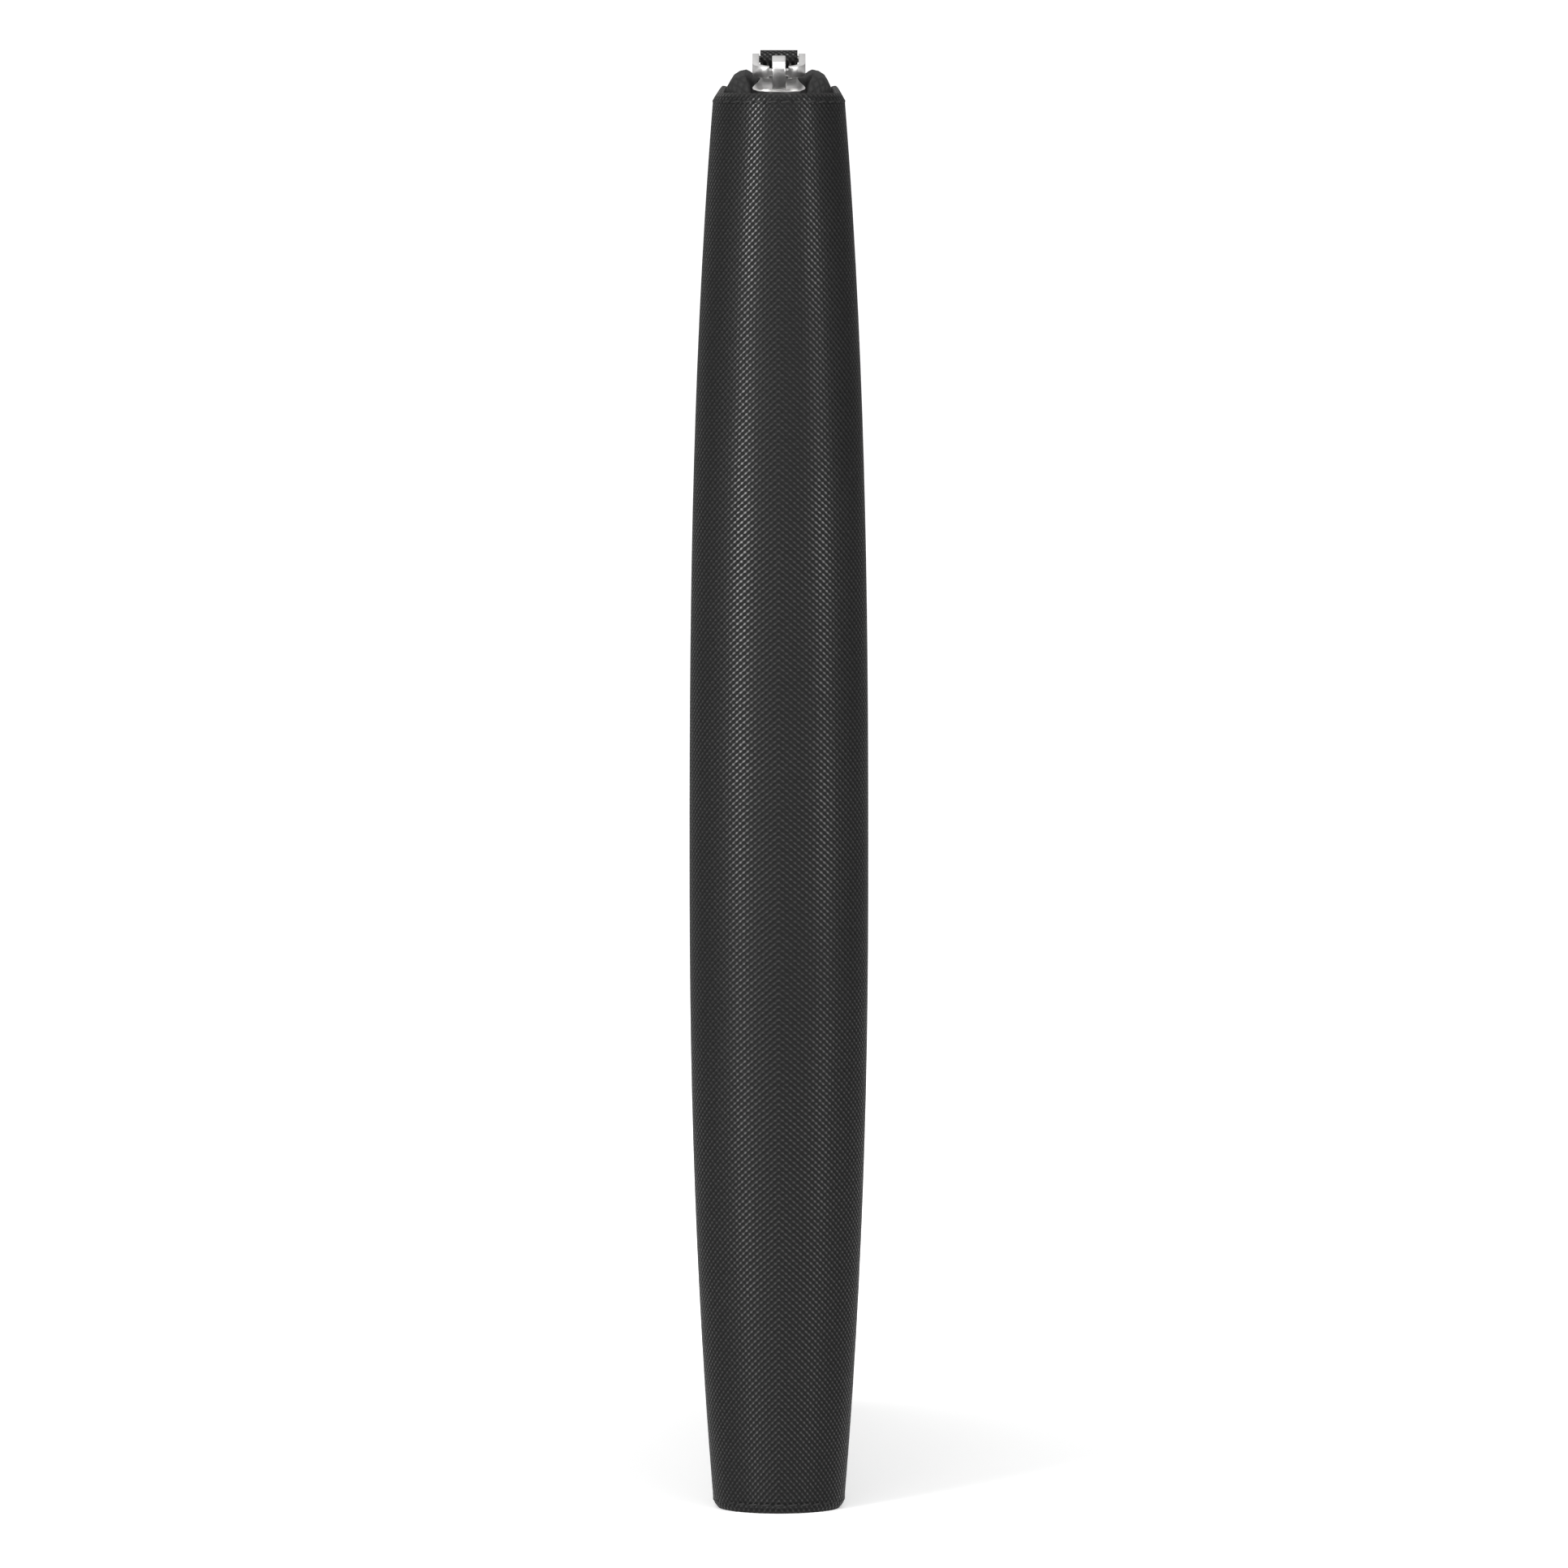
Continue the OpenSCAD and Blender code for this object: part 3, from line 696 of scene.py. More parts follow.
@dataclass(frozen=True)
class PlatedMetal:
    """Nickel plate, brushed by use."""

    name: str
    colour: float
    rough: float
    warm: float = 0.01

    def material(self) -> Stuff:
        """Builds the material."""
        made, tree, shader = start_material(self.name)
        own = tree.node("TexCoord").outputs["Object"]
        mottle = MOTTLE.place(tree, Place=own)
        stretched = tree.node("Mapping", {"Vector": own, "Scale": (1.0, 0.12, 1.0)}).outputs[0]
        scratch = tree.node("TexNoise", {"Vector": stretched, "Scale": 6000.0, "Detail": 3.0}).outputs[0]
        colour = tree.blend_colours(
            mottle.outputs["Cloud"], grey(self.colour * 0.86, self.warm), grey(self.colour, self.warm)
        )
        rough = tree.math(
            "ADD", tree.spread(mottle.outputs["Cloud"], 0.0, 1.0, self.rough, self.rough + 0.12),
            tree.math("MULTIPLY", scratch, 0.08),
        )
        shader.inputs["Metallic"].default_value = 1.0
        finish_shader(tree, shader, colour, rough, scratch, 0.00001, 0.5)
        return made


@dataclass(frozen=True)
class Plain:
    """A hidden or background stuff, such as board, foam, thread or paper."""

    name: str
    dark: Colour
    light: Colour
    rough: float
    grain: float
    relief: float

    def material(self) -> Stuff:
        """Builds the material."""
        made, tree, shader = start_material(self.name)
        own = tree.node("TexCoord").outputs["Object"]
        fleck = tree.node("TexNoise", {"Vector": own, "Scale": self.grain, "Detail": 4.0}).outputs[0]
        share = tree.spread(fleck, 0.35, 0.65, 0.0, 1.0)
        colour = tree.blend_colours(share, self.dark, self.light)
        rough = tree.spread(share, 0.0, 1.0, self.rough, min(1.0, self.rough + 0.1))
        finish_shader(tree, shader, colour, rough, fleck, self.relief)
        return made


class Finishes:
    """Every finish of the case, built once."""

    def __init__(self) -> None:
        """Builds the materials."""
        self.skin = CrossHatchLeather("cross_hatched_leather", Lay.SURFACE).material()
        self.strap = CrossHatchLeather("cross_hatched_strap", Lay.PLAN, ridge=0.018).material()
        self.calf = SmoothLeather("calf_leather").material()
        self.lining = WovenCloth("lining_twill", Lay.SURFACE, 0.006, 0.03, 0.45).material()
        self.cloth = WovenCloth("gusset_cloth", Lay.PLAN, 0.006, 0.026, 0.45).material()
        self.tape = WovenCloth("zip_tape_weave", Lay.SURFACE, 0.001, 0.013, 0.7, 0.0002).material()
        self.teeth = PlatedMetal("zip_tooth_metal", 0.6, 0.28).material()
        self.polished = PlatedMetal("polished_plate", 0.93, 0.22).material()
        self.thread = Plain("waxed_thread", grey(0.001), grey(0.006), 0.6, 2500.0, 0.00004).material()
        self.foam = Plain("foam_cells", grey(0.02), grey(0.06), 0.9, 900.0, 0.0003).material()
        self.board = Plain(
            "grey_board", (0.12, 0.1, 0.08, 1.0), (0.2, 0.17, 0.14, 1.0), 0.85, 400.0, 0.0001
        ).material()
        self.paper = Plain("studio_paper", grey(0.86), grey(0.88), 0.9, 3.0, 0.0).material()
        self.light_paper()

    def light_paper(self) -> None:
        """Lifts the paper to white where it is seen directly."""
        tree = self.paper.node_tree
        shader = next(n for n in tree.nodes if n.type == "BSDF_PRINCIPLED")
        seen = tree.nodes.new("ShaderNodeLightPath").outputs["Is Camera Ray"]
        place = tree.nodes.new("ShaderNodeTexCoord")
        parts = tree.nodes.new("ShaderNodeSeparateXYZ")
        tree.links.new(place.outputs["Object"], parts.inputs[0])
        away = tree.nodes.new("ShaderNodeMapRange")
        for slot, value in enumerate((*PAPER_REACH, *PAPER_LIFT), start=1):
            away.inputs[slot].default_value = value
        tree.links.new(parts.outputs[1], away.inputs[0])
        lift = tree.nodes.new("ShaderNodeMath")
        lift.operation = "MULTIPLY"
        tree.links.new(seen, lift.inputs[0])
        tree.links.new(away.outputs[0], lift.inputs[1])
        tree.links.new(lift.outputs[0], shader.inputs["Emission Strength"])
        shader.inputs["Emission Color"].default_value = (1, 1, 1, 1)


# --- meshes ---


def make_object(
    bm: Mesh, name: str, material: Stuff, sharp_deg: float = 40.0
) -> Piece:
    """Turns a bmesh into a finished object at the origin.

    Args:
        bm: The mesh, which is freed.
        name: The piece's name.
        material: Its finish.
        sharp_deg: Edges sharper than this stay sharp.

    Returns:
        The object, linked to the scene.
    """
    mesh = bpy.data.meshes.new(name)
    bm.to_mesh(mesh)
    bm.free()
    mesh.materials.append(material)
    mesh.polygons.foreach_set("use_smooth", [True] * len(mesh.polygons))
    mesh.set_sharp_from_angle(angle=math.radians(sharp_deg))
    made = bpy.data.objects.new(name, mesh)
    bpy.context.scene.collection.objects.link(made)
    LOG.info("%s: %d faces", name, len(mesh.polygons))
    return made


def face_towards(bm: Mesh, way: Vector) -> None:
    """Turns an open sheet's faces so that, taken together, they look along a direction."""
    bmesh.ops.recalc_face_normals(bm, faces=bm.faces[:])
    bm.normal_update()
    seen = sum(f.normal.dot(way) * f.calc_area() for f in bm.faces)
    if seen < 0:
        bmesh.ops.reverse_faces(bm, faces=bm.faces[:])


def write_uv(bm: Mesh, laid: Laid) -> None:
    """Gives each corner the surface coordinates of its vertex, in millimetres."""
    layer = bm.loops.layers.uv[SURFACE_UV]
    for face in bm.faces:
        for loop in face.loops:
            loop[layer].uv = laid[loop.vert]


def laid_grid(
    columns: int, rows: int, place: Place
) -> tuple[Mesh, Laid]:
    """Lays a grid over a surface.

    Args:
        columns: Points across.
        rows: Points up.
        place: Gives a grid point's place and surface coordinates.

    Returns:
        The mesh, and each vertex's surface coordinates.
    """
    bm = bmesh.new()
    bm.verts.layers.float.new(EDGE_GAP)
    bm.loops.layers.uv.new(SURFACE_UV)
    bmesh.ops.create_grid(bm, x_segments=columns - 1, y_segments=rows - 1, size=1.0)
    laid = {}
    for v in bm.verts:
        i = round((v.co.x + 1) / 2 * (columns - 1))
        j = round((v.co.y + 1) / 2 * (rows - 1))
        v.co, laid[v] = place(i, j)
    return bm, laid


def laid_sheet(
    name: str,
    columns: int,
    rows: int,
    place: Place,
    material: Stuff,
    way: Vector,
    mirrored: bool = False,
    sharp_deg: float = 40.0,
) -> Piece:
    """Lays a grid as a finished, still thin sheet.

    Args:
        name: The sheet's name.
        columns: Points across.
        rows: Points up.
        place: Gives a grid point's place and surface coordinates.
        material: Its finish.
        way: The direction that its faces look along.
        mirrored: Whether it is laid on the other side of X.
        sharp_deg: Edges sharper than this stay sharp.

    Returns:
        The sheet.
    """
    bm, laid = laid_grid(columns, rows, place)
    write_uv(bm, laid)
    if mirrored:
        bmesh.ops.scale(bm, vec=(-1, 1, 1), verts=bm.verts[:])
    face_towards(bm, way)
    return make_object(bm, name, material, sharp_deg)


def thicken(obj: Piece, thickness: float, offset: float = 0.0) -> None:
    """Gives a sheet its thickness, in millimetres: offset -1 keeps its outer face, 0 its middle."""
    solid = obj.modifiers.new("thickness", "SOLIDIFY")
    solid.thickness = thickness * MM
    solid.offset = offset


def scatter(shape: Mesh, places: Iterable[Matrix]) -> Mesh:
    """Copies a small shape to each place, and frees it."""
    pattern = bpy.data.meshes.new("pattern")
    shape.to_mesh(pattern)
    shape.free()
    bm = bmesh.new()
    for matrix in places:
        known = len(bm.verts)
        bm.from_mesh(pattern)
        bm.verts.ensure_lookup_table()
        bmesh.ops.transform(bm, matrix=matrix, verts=bm.verts[known:])
    bpy.data.meshes.remove(pattern)
    return bm


def softened_copy(
    node: str, name: str, material: Stuff, width: float, segments: int = 2
) -> Piece:
    """Copies a CAD node and rounds its edges.

    Args:
        node: The CAD node, which the copy replaces.
        name: The copy's name.
        material: Its finish.
        width: Width of the rounding, in millimetres.
        segments: Steps of the rounding.

    Returns:
        The new piece, riding on the node's body.
    """
    cad = frame["nodes"][node]
    bm = bmesh.new()
    bm.from_mesh(cad.data)
    bmesh.ops.remove_doubles(bm, verts=bm.verts[:], dist=1e-6)
    bmesh.ops.dissolve_limit(bm, angle_limit=math.radians(FLAT_DEG), verts=bm.verts[:], edges=bm.edges[:])
    edges = [e for e in bm.edges if e.is_manifold and e.calc_face_angle(0.0) > math.radians(CORNER_DEG)]
    bmesh.ops.bevel(
        bm,
        geom=edges,
        offset=width * MM,
        offset_type="OFFSET",
        segments=segments,
        profile=0.5,
        affect="EDGES",
        material=-1,
        clamp_overlap=True,
    )
    made = make_object(bm, name, material, 50.0)
    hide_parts(node)
    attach(made, cad["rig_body"])
    return made


@dataclass(frozen=True)
class StitchRow:
    """A row of lock stitches along a line on a surface."""

    pitch: float = 2.35
    length: float = 1.8
    width: float = 0.44
    height: float = 0.36
    slant_deg: float = 7.0
    sunk: float = 0.09

    def shape(self) -> Mesh:
        """One stitch: a plump length of thread, along X."""
        bm = bmesh.new()
        turn = Matrix.Rotation(math.pi / 2, 4, "Y")
        bmesh.ops.create_uvsphere(bm, u_segments=8, v_segments=7, radius=0.5, matrix=turn)
        for v in bm.verts:
            v.co.x = math.copysign(abs(2 * v.co.x) ** 0.7 / 2, v.co.x)
        size = Vector((self.length, self.width, self.height)) * MM
        bmesh.ops.scale(bm, vec=size, verts=bm.verts[:])
        return bm

    def places(self, line: Line) -> list[Matrix]:
        """Walks a line of points and normals, in metres, and sets a stitch at every pitch."""
        found, due, walked = [], self.pitch / 2, 0.0
        for (a, normal_a), (b, normal_b) in zip(line, line[1:]):
            step = (b - a).length / MM
            while step > 0 and walked + step >= due:
                share = (due - walked) / step
                along = (b - a).normalized()
                up = normal_a.lerp(normal_b, share)
                up = (up - along * up.dot(along)).normalized()
                basis = Matrix((along, up.cross(along), up)).transposed().to_4x4()
                slant = Matrix.Rotation(math.radians(self.slant_deg), 4, "Z")
                place = a.lerp(b, share) - up * self.sunk * MM
                found.append(Matrix.Translation(place) @ basis @ slant)
                due += self.pitch
            walked += step
        return found

    def sew(
        self, lines: Iterable[Line], name: str, thread: Stuff
    ) -> Piece:
        """Sews every line, and returns all their stitches as one piece."""
        places = [m for line in lines for m in self.places(line)]
        return make_object(scatter(self.shape(), places), name, thread, 80.0)


# --- the case's sub-assemblies ---


@dataclass
class Shell:
    """The leather, padding and linings of one half: spine, cover and turned-in rims."""

    shape: CaseShape
    side: Side
    finishes: Finishes
    end_steps: tuple[float, ...] = (0, 0.25, 0.5, 0.8, 1.15, 1.5, 1.85, 2.2, 3.2, 5, 7)
    spine_angles: tuple[float, ...] = (0, 1.5, 4, 8, 13, 19, 25, 31, 37, 43, 49, 55, 61, 67, 73, 79, 85, 90)
    fold_shares: tuple[float, ...] = (0.3, 0.65, 0.9, 1.0, 1.0, 1.0)
    fold_reach: tuple[float, ...] = (0.0, -0.12, -0.4, -1.0, -3.0, -6.6)
    spine_t: float = 1.0
    cover_t: float = 2.1

    def rows(self, inset: float = 0.0) -> list[float]:
        """Heights of the skin's points, close together at the ends."""
        r = self.shape.corner_r
        low = list(self.end_steps) + [mix(7, r, u / 7) for u in range(1, 8)]
        half = self.shape.height / 2
        middle = [mix(r, half, u / 12) for u in range(1, 13)]
        lower = [z for z in low + middle if z >= inset]
        if inset and lower[0] > inset:
            lower.insert(0, inset)
        upper = [self.shape.height - z for z in reversed(lower[:-1])]
        return lower + upper

    def columns(self) -> list[tuple[Zone, float]]:
        """Lines of points from the spine's middle to the fore-edge."""
        spine = [(Zone.SPINE, float(a)) for a in self.spine_angles]
        cover = [(Zone.COVER, u / 24) for u in range(0, 25)]
        rim = [(Zone.RIM, float(gap)) for gap in reversed(self.end_steps[:-1])]
        return spine + cover + rim

    def mirror(self, bm: Mesh) -> None:
        """Puts the mesh on its own side, facing out."""
        if self.side.sign < 0:
            bmesh.ops.scale(bm, vec=(-1, 1, 1), verts=bm.verts[:])
        face_towards(bm, Vector((self.side.sign, 0, 0)))

    def bend(self, piece: Piece) -> None:
        """Lets a piece bend where the cover folds away from the spine."""
        shape = self.shape
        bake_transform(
            piece, "spine", self.side.body, start=shape.at(0, 0, 0), end=shape.at(0, shape.cover_y - 0.6, 0)
        )

    def key(self, place: Vector) -> tuple[float, ...]:
        """A place as a dictionary key."""
        return tuple(round(c, 7) for c in place)

    def fold_from(
        self, found: SkinPoint, column: tuple[Zone, float], z: float, at_end: bool, upper: bool
    ) -> tuple[SkinPoint, Vector, float]:
        """Where the leather turns in at an edge point.

        Args:
            found: The edge point.
            column: Its line up the skin.
            z: Its height.
            at_end: Whether it lies on an upper or lower edge.
            upper: Whether out is up there.

        Returns:
            The point, the way out of the edge, and the leather's thickness.
        """
        end_out = Vector((0, 0, 1 if upper else -1))
        zone, value = column
        if zone is Zone.SPINE:
            thick = mix(self.spine_t, self.cover_t, smooth((value - 60) / 30))
            return found, end_out, max(MIN_HEM, thick - self.shape.end_drawn(value, z))
        out = end_out if at_end else self.shape.rim_out(found.place.y, found.place.z)
        return found, out, max(MIN_HEM, self.cover_t - self.shape.edge_round)

    def turn_in(
        self,
        bm: Mesh,
        laid: Laid,
        edges: list[bmesh.types.BMEdge],
        home: dict[Vert, tuple[SkinPoint, Vector, float]],
    ) -> None:
        """Folds the leather's open edges inwards.

        Args:
            bm: The leather.
            laid: Surface coordinates by vertex, which grow with the fold.
            edges: The open edges.
            home: What fold_from says of each edge vertex.
        """
        gap_layer = bm.verts.layers.float[EDGE_GAP]
        for share, reach in zip(self.fold_shares, self.fold_reach, strict=True):
            fresh = bmesh.ops.extrude_edge_only(bm, edges=edges)["geom"]
            new = dict.fromkeys(g for g in fresh if isinstance(g, Vert))
            edges = [
                g for g in fresh if isinstance(g, bmesh.types.BMEdge) and all(v in new for v in g.verts)
            ]
            for v in new:
                source = next(e.other_vert(v) for e in v.link_edges if e.other_vert(v) not in new)
                home[v] = found, out, thick = home[source]
                v.co = self.shape.put(found.place - found.normal * thick * share + out * reach)
                v[gap_layer] = 0.0
                run = thick * share - reach
                laid[v] = (found.run + out.y * run, found.place.z + out.z * run)

    def skin(self) -> Piece:
        """The embossed leather, one sheet from the spine's middle round the rims."""
        shape, rows, columns = self.shape, self.rows(), self.columns()
        points = {}

        def place(i: int, j: int) -> tuple[Vector, tuple[float, float]]:
            """A point of the outer face."""
            found = shape.skin(*columns[i], rows[j])
            points[i, j] = found
            return shape.put(found.place), (found.run, rows[j])

        bm, laid = laid_grid(len(columns), len(rows), place)
        gap_layer = bm.verts.layers.float[EDGE_GAP]
        last_i, last_j = len(columns) - 1, len(rows) - 1
        lookup = {self.key(shape.put(p.place)): at for at, p in points.items()}
        index = {v: lookup[self.key(v.co)] for v in bm.verts}
        for v, (i, j) in index.items():
            v[gap_layer] = max(0.0, shape.rim_gap(points[i, j].place.y, points[i, j].place.z))
            if columns[i][0] is Zone.SPINE:
                v[gap_layer] = shape.end_gap(rows[j])
        rim_edges = [e for e in bm.edges if e.is_boundary and any(index[v][0] > 0 for v in e.verts)]
        home = {}
        for v in dict.fromkeys(v for e in rim_edges for v in e.verts):
            i, j = index[v]
            at_end = j in (0, last_j) and i < last_i
            home[v] = self.fold_from(points[i, j], columns[i], rows[j], at_end, j > 0)
        self.turn_in(bm, laid, rim_edges, home)
        write_uv(bm, laid)
        self.mirror(bm)
        made = make_object(bm, f"{self.side.label}_skin", self.finishes.skin, 70.0)
        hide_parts(f"{self.side.label}_cover_leather", "spine_leather")
        self.bend(made)
        return made

    def spine_layer(
        self, name: str, depth: float, thickness: float, inset: float, material: Stuff
    ) -> Piece:
        """A layer under the spine's leather, on this half."""
        rows = self.rows(inset)

        def place(i: int, j: int) -> tuple[Vector, tuple[float, float]]:
            """A point of the layer's outer face."""
            found = self.shape.skin(Zone.SPINE, float(self.spine_angles[i]), rows[j], depth)
            return self.shape.put(found.place), (found.run, rows[j])

        out = Vector((self.side.sign, 0, 0))
        made = laid_sheet(
            name, len(self.spine_angles), len(rows), place, material, out, self.side is Side.BACK
        )
        thicken(made, thickness, -1.0)
        self.bend(made)
        return made

    def cover_lining(self) -> Piece:
        """The cloth that lines the cover, laid over the board and tucked to the rims."""
        shape, inset, y0 = self.shape, 1.2, self.shape.cover_y + 0.4
        rows = self.rows(inset)

        def place(i: int, j: int) -> tuple[Vector, tuple[float, float]]:
            """A point of the cloth, puckering very slightly."""
            z = rows[j]
            y = mix(y0, shape.fore_y(z, inset), i / 40)
            pucker = 0.07 * math.sin(y * 0.21 + 1.3 * math.sin(z * 0.05)) * math.sin(z * 0.17)
            return shape.at(shape.inner_x + 0.2 - pucker, y, z), (y, z)

        name, inwards = f"{self.side.label}_lining_cloth", Vector((-self.side.sign, 0, 0))
        made = laid_sheet(
            name, 41, len(rows), place, self.finishes.lining, inwards, self.side is Side.BACK
        )
        thicken(made, 0.3)
        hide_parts(f"{self.side.label}_lining")
        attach(made, self.side.body)
        return made

    def rim_line(self, inset: float = 1.5) -> list[tuple[Vector, Vector]]:
        """The line of the stitches, from the spine's upper end round to its lower end."""
        shape, sign = self.shape, self.side.sign
        high, low = shape.height - inset, inset
        core_y, r = shape.depth - shape.corner_r, shape.corner_r - inset
        points = [shape.skin(Zone.SPINE, a, high) for a in range(0, 91, 3)]
        flat = Vector((1, 0, 0))

        def on_cover(y: float, z: float) -> SkinPoint:
            """A point of the cover's outer face."""
            return SkinPoint(Vector((shape.cover_x(y, z), y, z)), flat, 0.0)

        points += [on_cover(mix(shape.cover_y, core_y, u / 20), high) for u in range(1, 21)]
        upper, lower = shape.height - shape.corner_r, shape.corner_r
        for core_z, turns in ((upper, range(85, -1, -5)), (lower, range(0, -91, -5))):
            for a in map(math.radians, turns):
                points.append(on_cover(core_y + r * math.cos(a), core_z + r * math.sin(a)))
        points += [on_cover(mix(core_y, shape.cover_y, u / 20), low) for u in range(1, 21)]
        points += [shape.skin(Zone.SPINE, a, low) for a in range(90, -1, -3)]
        return [
            (
                shape.at(sign * p.place.x, p.place.y, p.place.z),
                Vector((sign * p.normal.x, p.normal.y, p.normal.z)),
            )
            for p in points
        ]

    def stitches(self) -> Piece:
        """The row of black stitches that runs along every edge of the half."""
        made = StitchRow().sew([self.rim_line()], f"{self.side.label}_stitches", self.finishes.thread)
        self.bend(made)
        return made

    def build(self) -> None:
        """Builds the half's shell."""
        label = self.side.label
        self.skin()
        self.stitches()
        lining = self.spine_layer(f"{label}_spine_cloth", 2.05, 0.45, 2.5, self.finishes.lining)
        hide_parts("spine_lining")
        foam = self.spine_layer(f"{label}_spine_foam", 1.08, 0.9, 6.0, self.finishes.foam)
        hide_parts("spine_padding")
        pad = softened_copy(f"{label}_padding", f"{label}_cover_foam", self.finishes.foam, 0.25, 1)
        self.cover_lining()


@dataclass
class Zip:
    """The zip: two woven tapes, their teeth and stops."""

    route: ZipRoute
    finishes: Finishes
    tooth_w: float = 1.0
    tooth_t: float = 2.3
    tooth_reach: float = 0.8
    lead_in: float = 4.0
    tail_run: float = 7

    def stops(self) -> list[float]:
        """Runs at which a tape's section is set, the curl into the spine first."""
        r = self.route
        a, b = r.top_run + r.arc_run, r.top_run + r.arc_run + r.side_run
        found = [-self.lead_in + u * self.lead_in / 6 for u in range(6)]
        found += [r.dip_run * u / 12 for u in range(13)]
        found += [mix(r.dip_run, r.top_run, u / 14) for u in range(1, 15)]
        found += [r.top_run + r.arc_run * u / 12 for u in range(1, 13)]
        found += [mix(a, r.press_start, u / 16) for u in range(1, 17)]
        found += [r.press_start + r.press_run * u / 8 for u in range(1, 9)]
        found += [b + r.arc_run * u / 12 for u in range(1, 13)]
        return found + [mix(b + r.arc_run, r.length, u / 14) for u in range(1, 15)]

    def tape(self, side: Side) -> Piece:
        """One woven tape, rolled over at its shoulder."""
        r, stops = self.route, self.stops()
        width = len(r.tape_line(0.0))

        def place(i: int, j: int) -> tuple[Vector, tuple[float, float]]:
            """A point of the tape's middle."""
            t = stops[j]
            line = r.tape_line(max(0.0, t))
            x, n = line[i]
            across = sum(math.dist(p, q) for p, q in zip(line[:i], line[1 : i + 1]))
            y, z, turn = r.rim_at(t)
            if t < 0:
                curl = -t / self.lead_in
                n = max(-5.6, n - 5.0 * curl**1.7)
                x *= 1 - 0.2 * curl**1.3
            f = math.radians(turn)
            place_mm = Vector((x * side.sign, y + n * math.cos(f), z + n * math.sin(f)))
            return r.shape.put(place_mm), (across, t)

        out = Vector((side.sign, 0, 0))
        made = laid_sheet(
            f"{side.label}_tape", width, len(stops), place, self.finishes.tape, out, sharp_deg=75.0
        )
        thicken(made, 0.55)
        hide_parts(f"{side.label}_zip_tape")
        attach(made, side.body)
        return made

    def tooth(self) -> Mesh:
        """One tooth: a stamped bar with a rounded head, along X from the tape to the middle."""
        bm = bmesh.new()
        bmesh.ops.create_cube(bm, size=1.0)
        length = self.route.tape_edge + self.tooth_reach
        bmesh.ops.scale(bm, vec=(length, self.tooth_w, self.tooth_t), verts=bm.verts[:])
        neck = [e for e in bm.edges if abs(e.verts[0].co.x - e.verts[1].co.x) > 0.5]
        bmesh.ops.subdivide_edges(bm, edges=neck, cuts=2)
        for v in bm.verts:
            if abs(v.co.x) < length * 0.4:
                v.co.y *= 0.72
                v.co.z *= 0.86
        bmesh.ops.bevel(
            bm, geom=bm.edges[:], offset=0.16, offset_type="OFFSET", segments=1, profile=0.5,
            affect="EDGES", material=-1,
        )
        shift = Vector(((self.route.tape_edge - self.tooth_reach) / 2, 0, 0))
        bmesh.ops.translate(bm, vec=shift, verts=bm.verts[:])
        bmesh.ops.scale(bm, vec=(MM, MM, MM), verts=bm.verts[:])
        return bm

    @property
    def first_tooth(self) -> float:
        """Run at which the back tape's first tooth stands."""
        return self.route.dip_run / 2 - 0.2

    def teeth(self, side: Side) -> Piece:
        """One tape's row of teeth."""
        r = self.route
        first = self.first_tooth + (r.pitch / 2 if side is Side.FRONT else 0.0)
        count = math.floor((r.length - self.first_tooth - self.tail_run) / r.pitch)
        flip = Matrix.Scale(side.sign, 4, (1, 0, 0))
        bm = scatter(self.tooth(), [r.chain_matrix(first + k * r.pitch) @ flip for k in range(count)])
        bmesh.ops.recalc_face_normals(bm, faces=bm.faces[:])
        made = make_object(bm, f"{side.label}_teeth", self.finishes.teeth, 40.0)
        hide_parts(f"{side.label}_zip_teeth")
        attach(made, side.body)
        return made

    def build(self) -> None:
        """Builds the zip."""
        for side in Side:
            self.tape(side)
            self.teeth(side)
            node, name = f"{side.label}_top_stop", f"{side.label}_stop_clip"
            clip = softened_copy(node, name, self.finishes.teeth, 0.25)
        softened_copy("zip_bottom_stop", "zip_end_clip", self.finishes.teeth, 0.35)


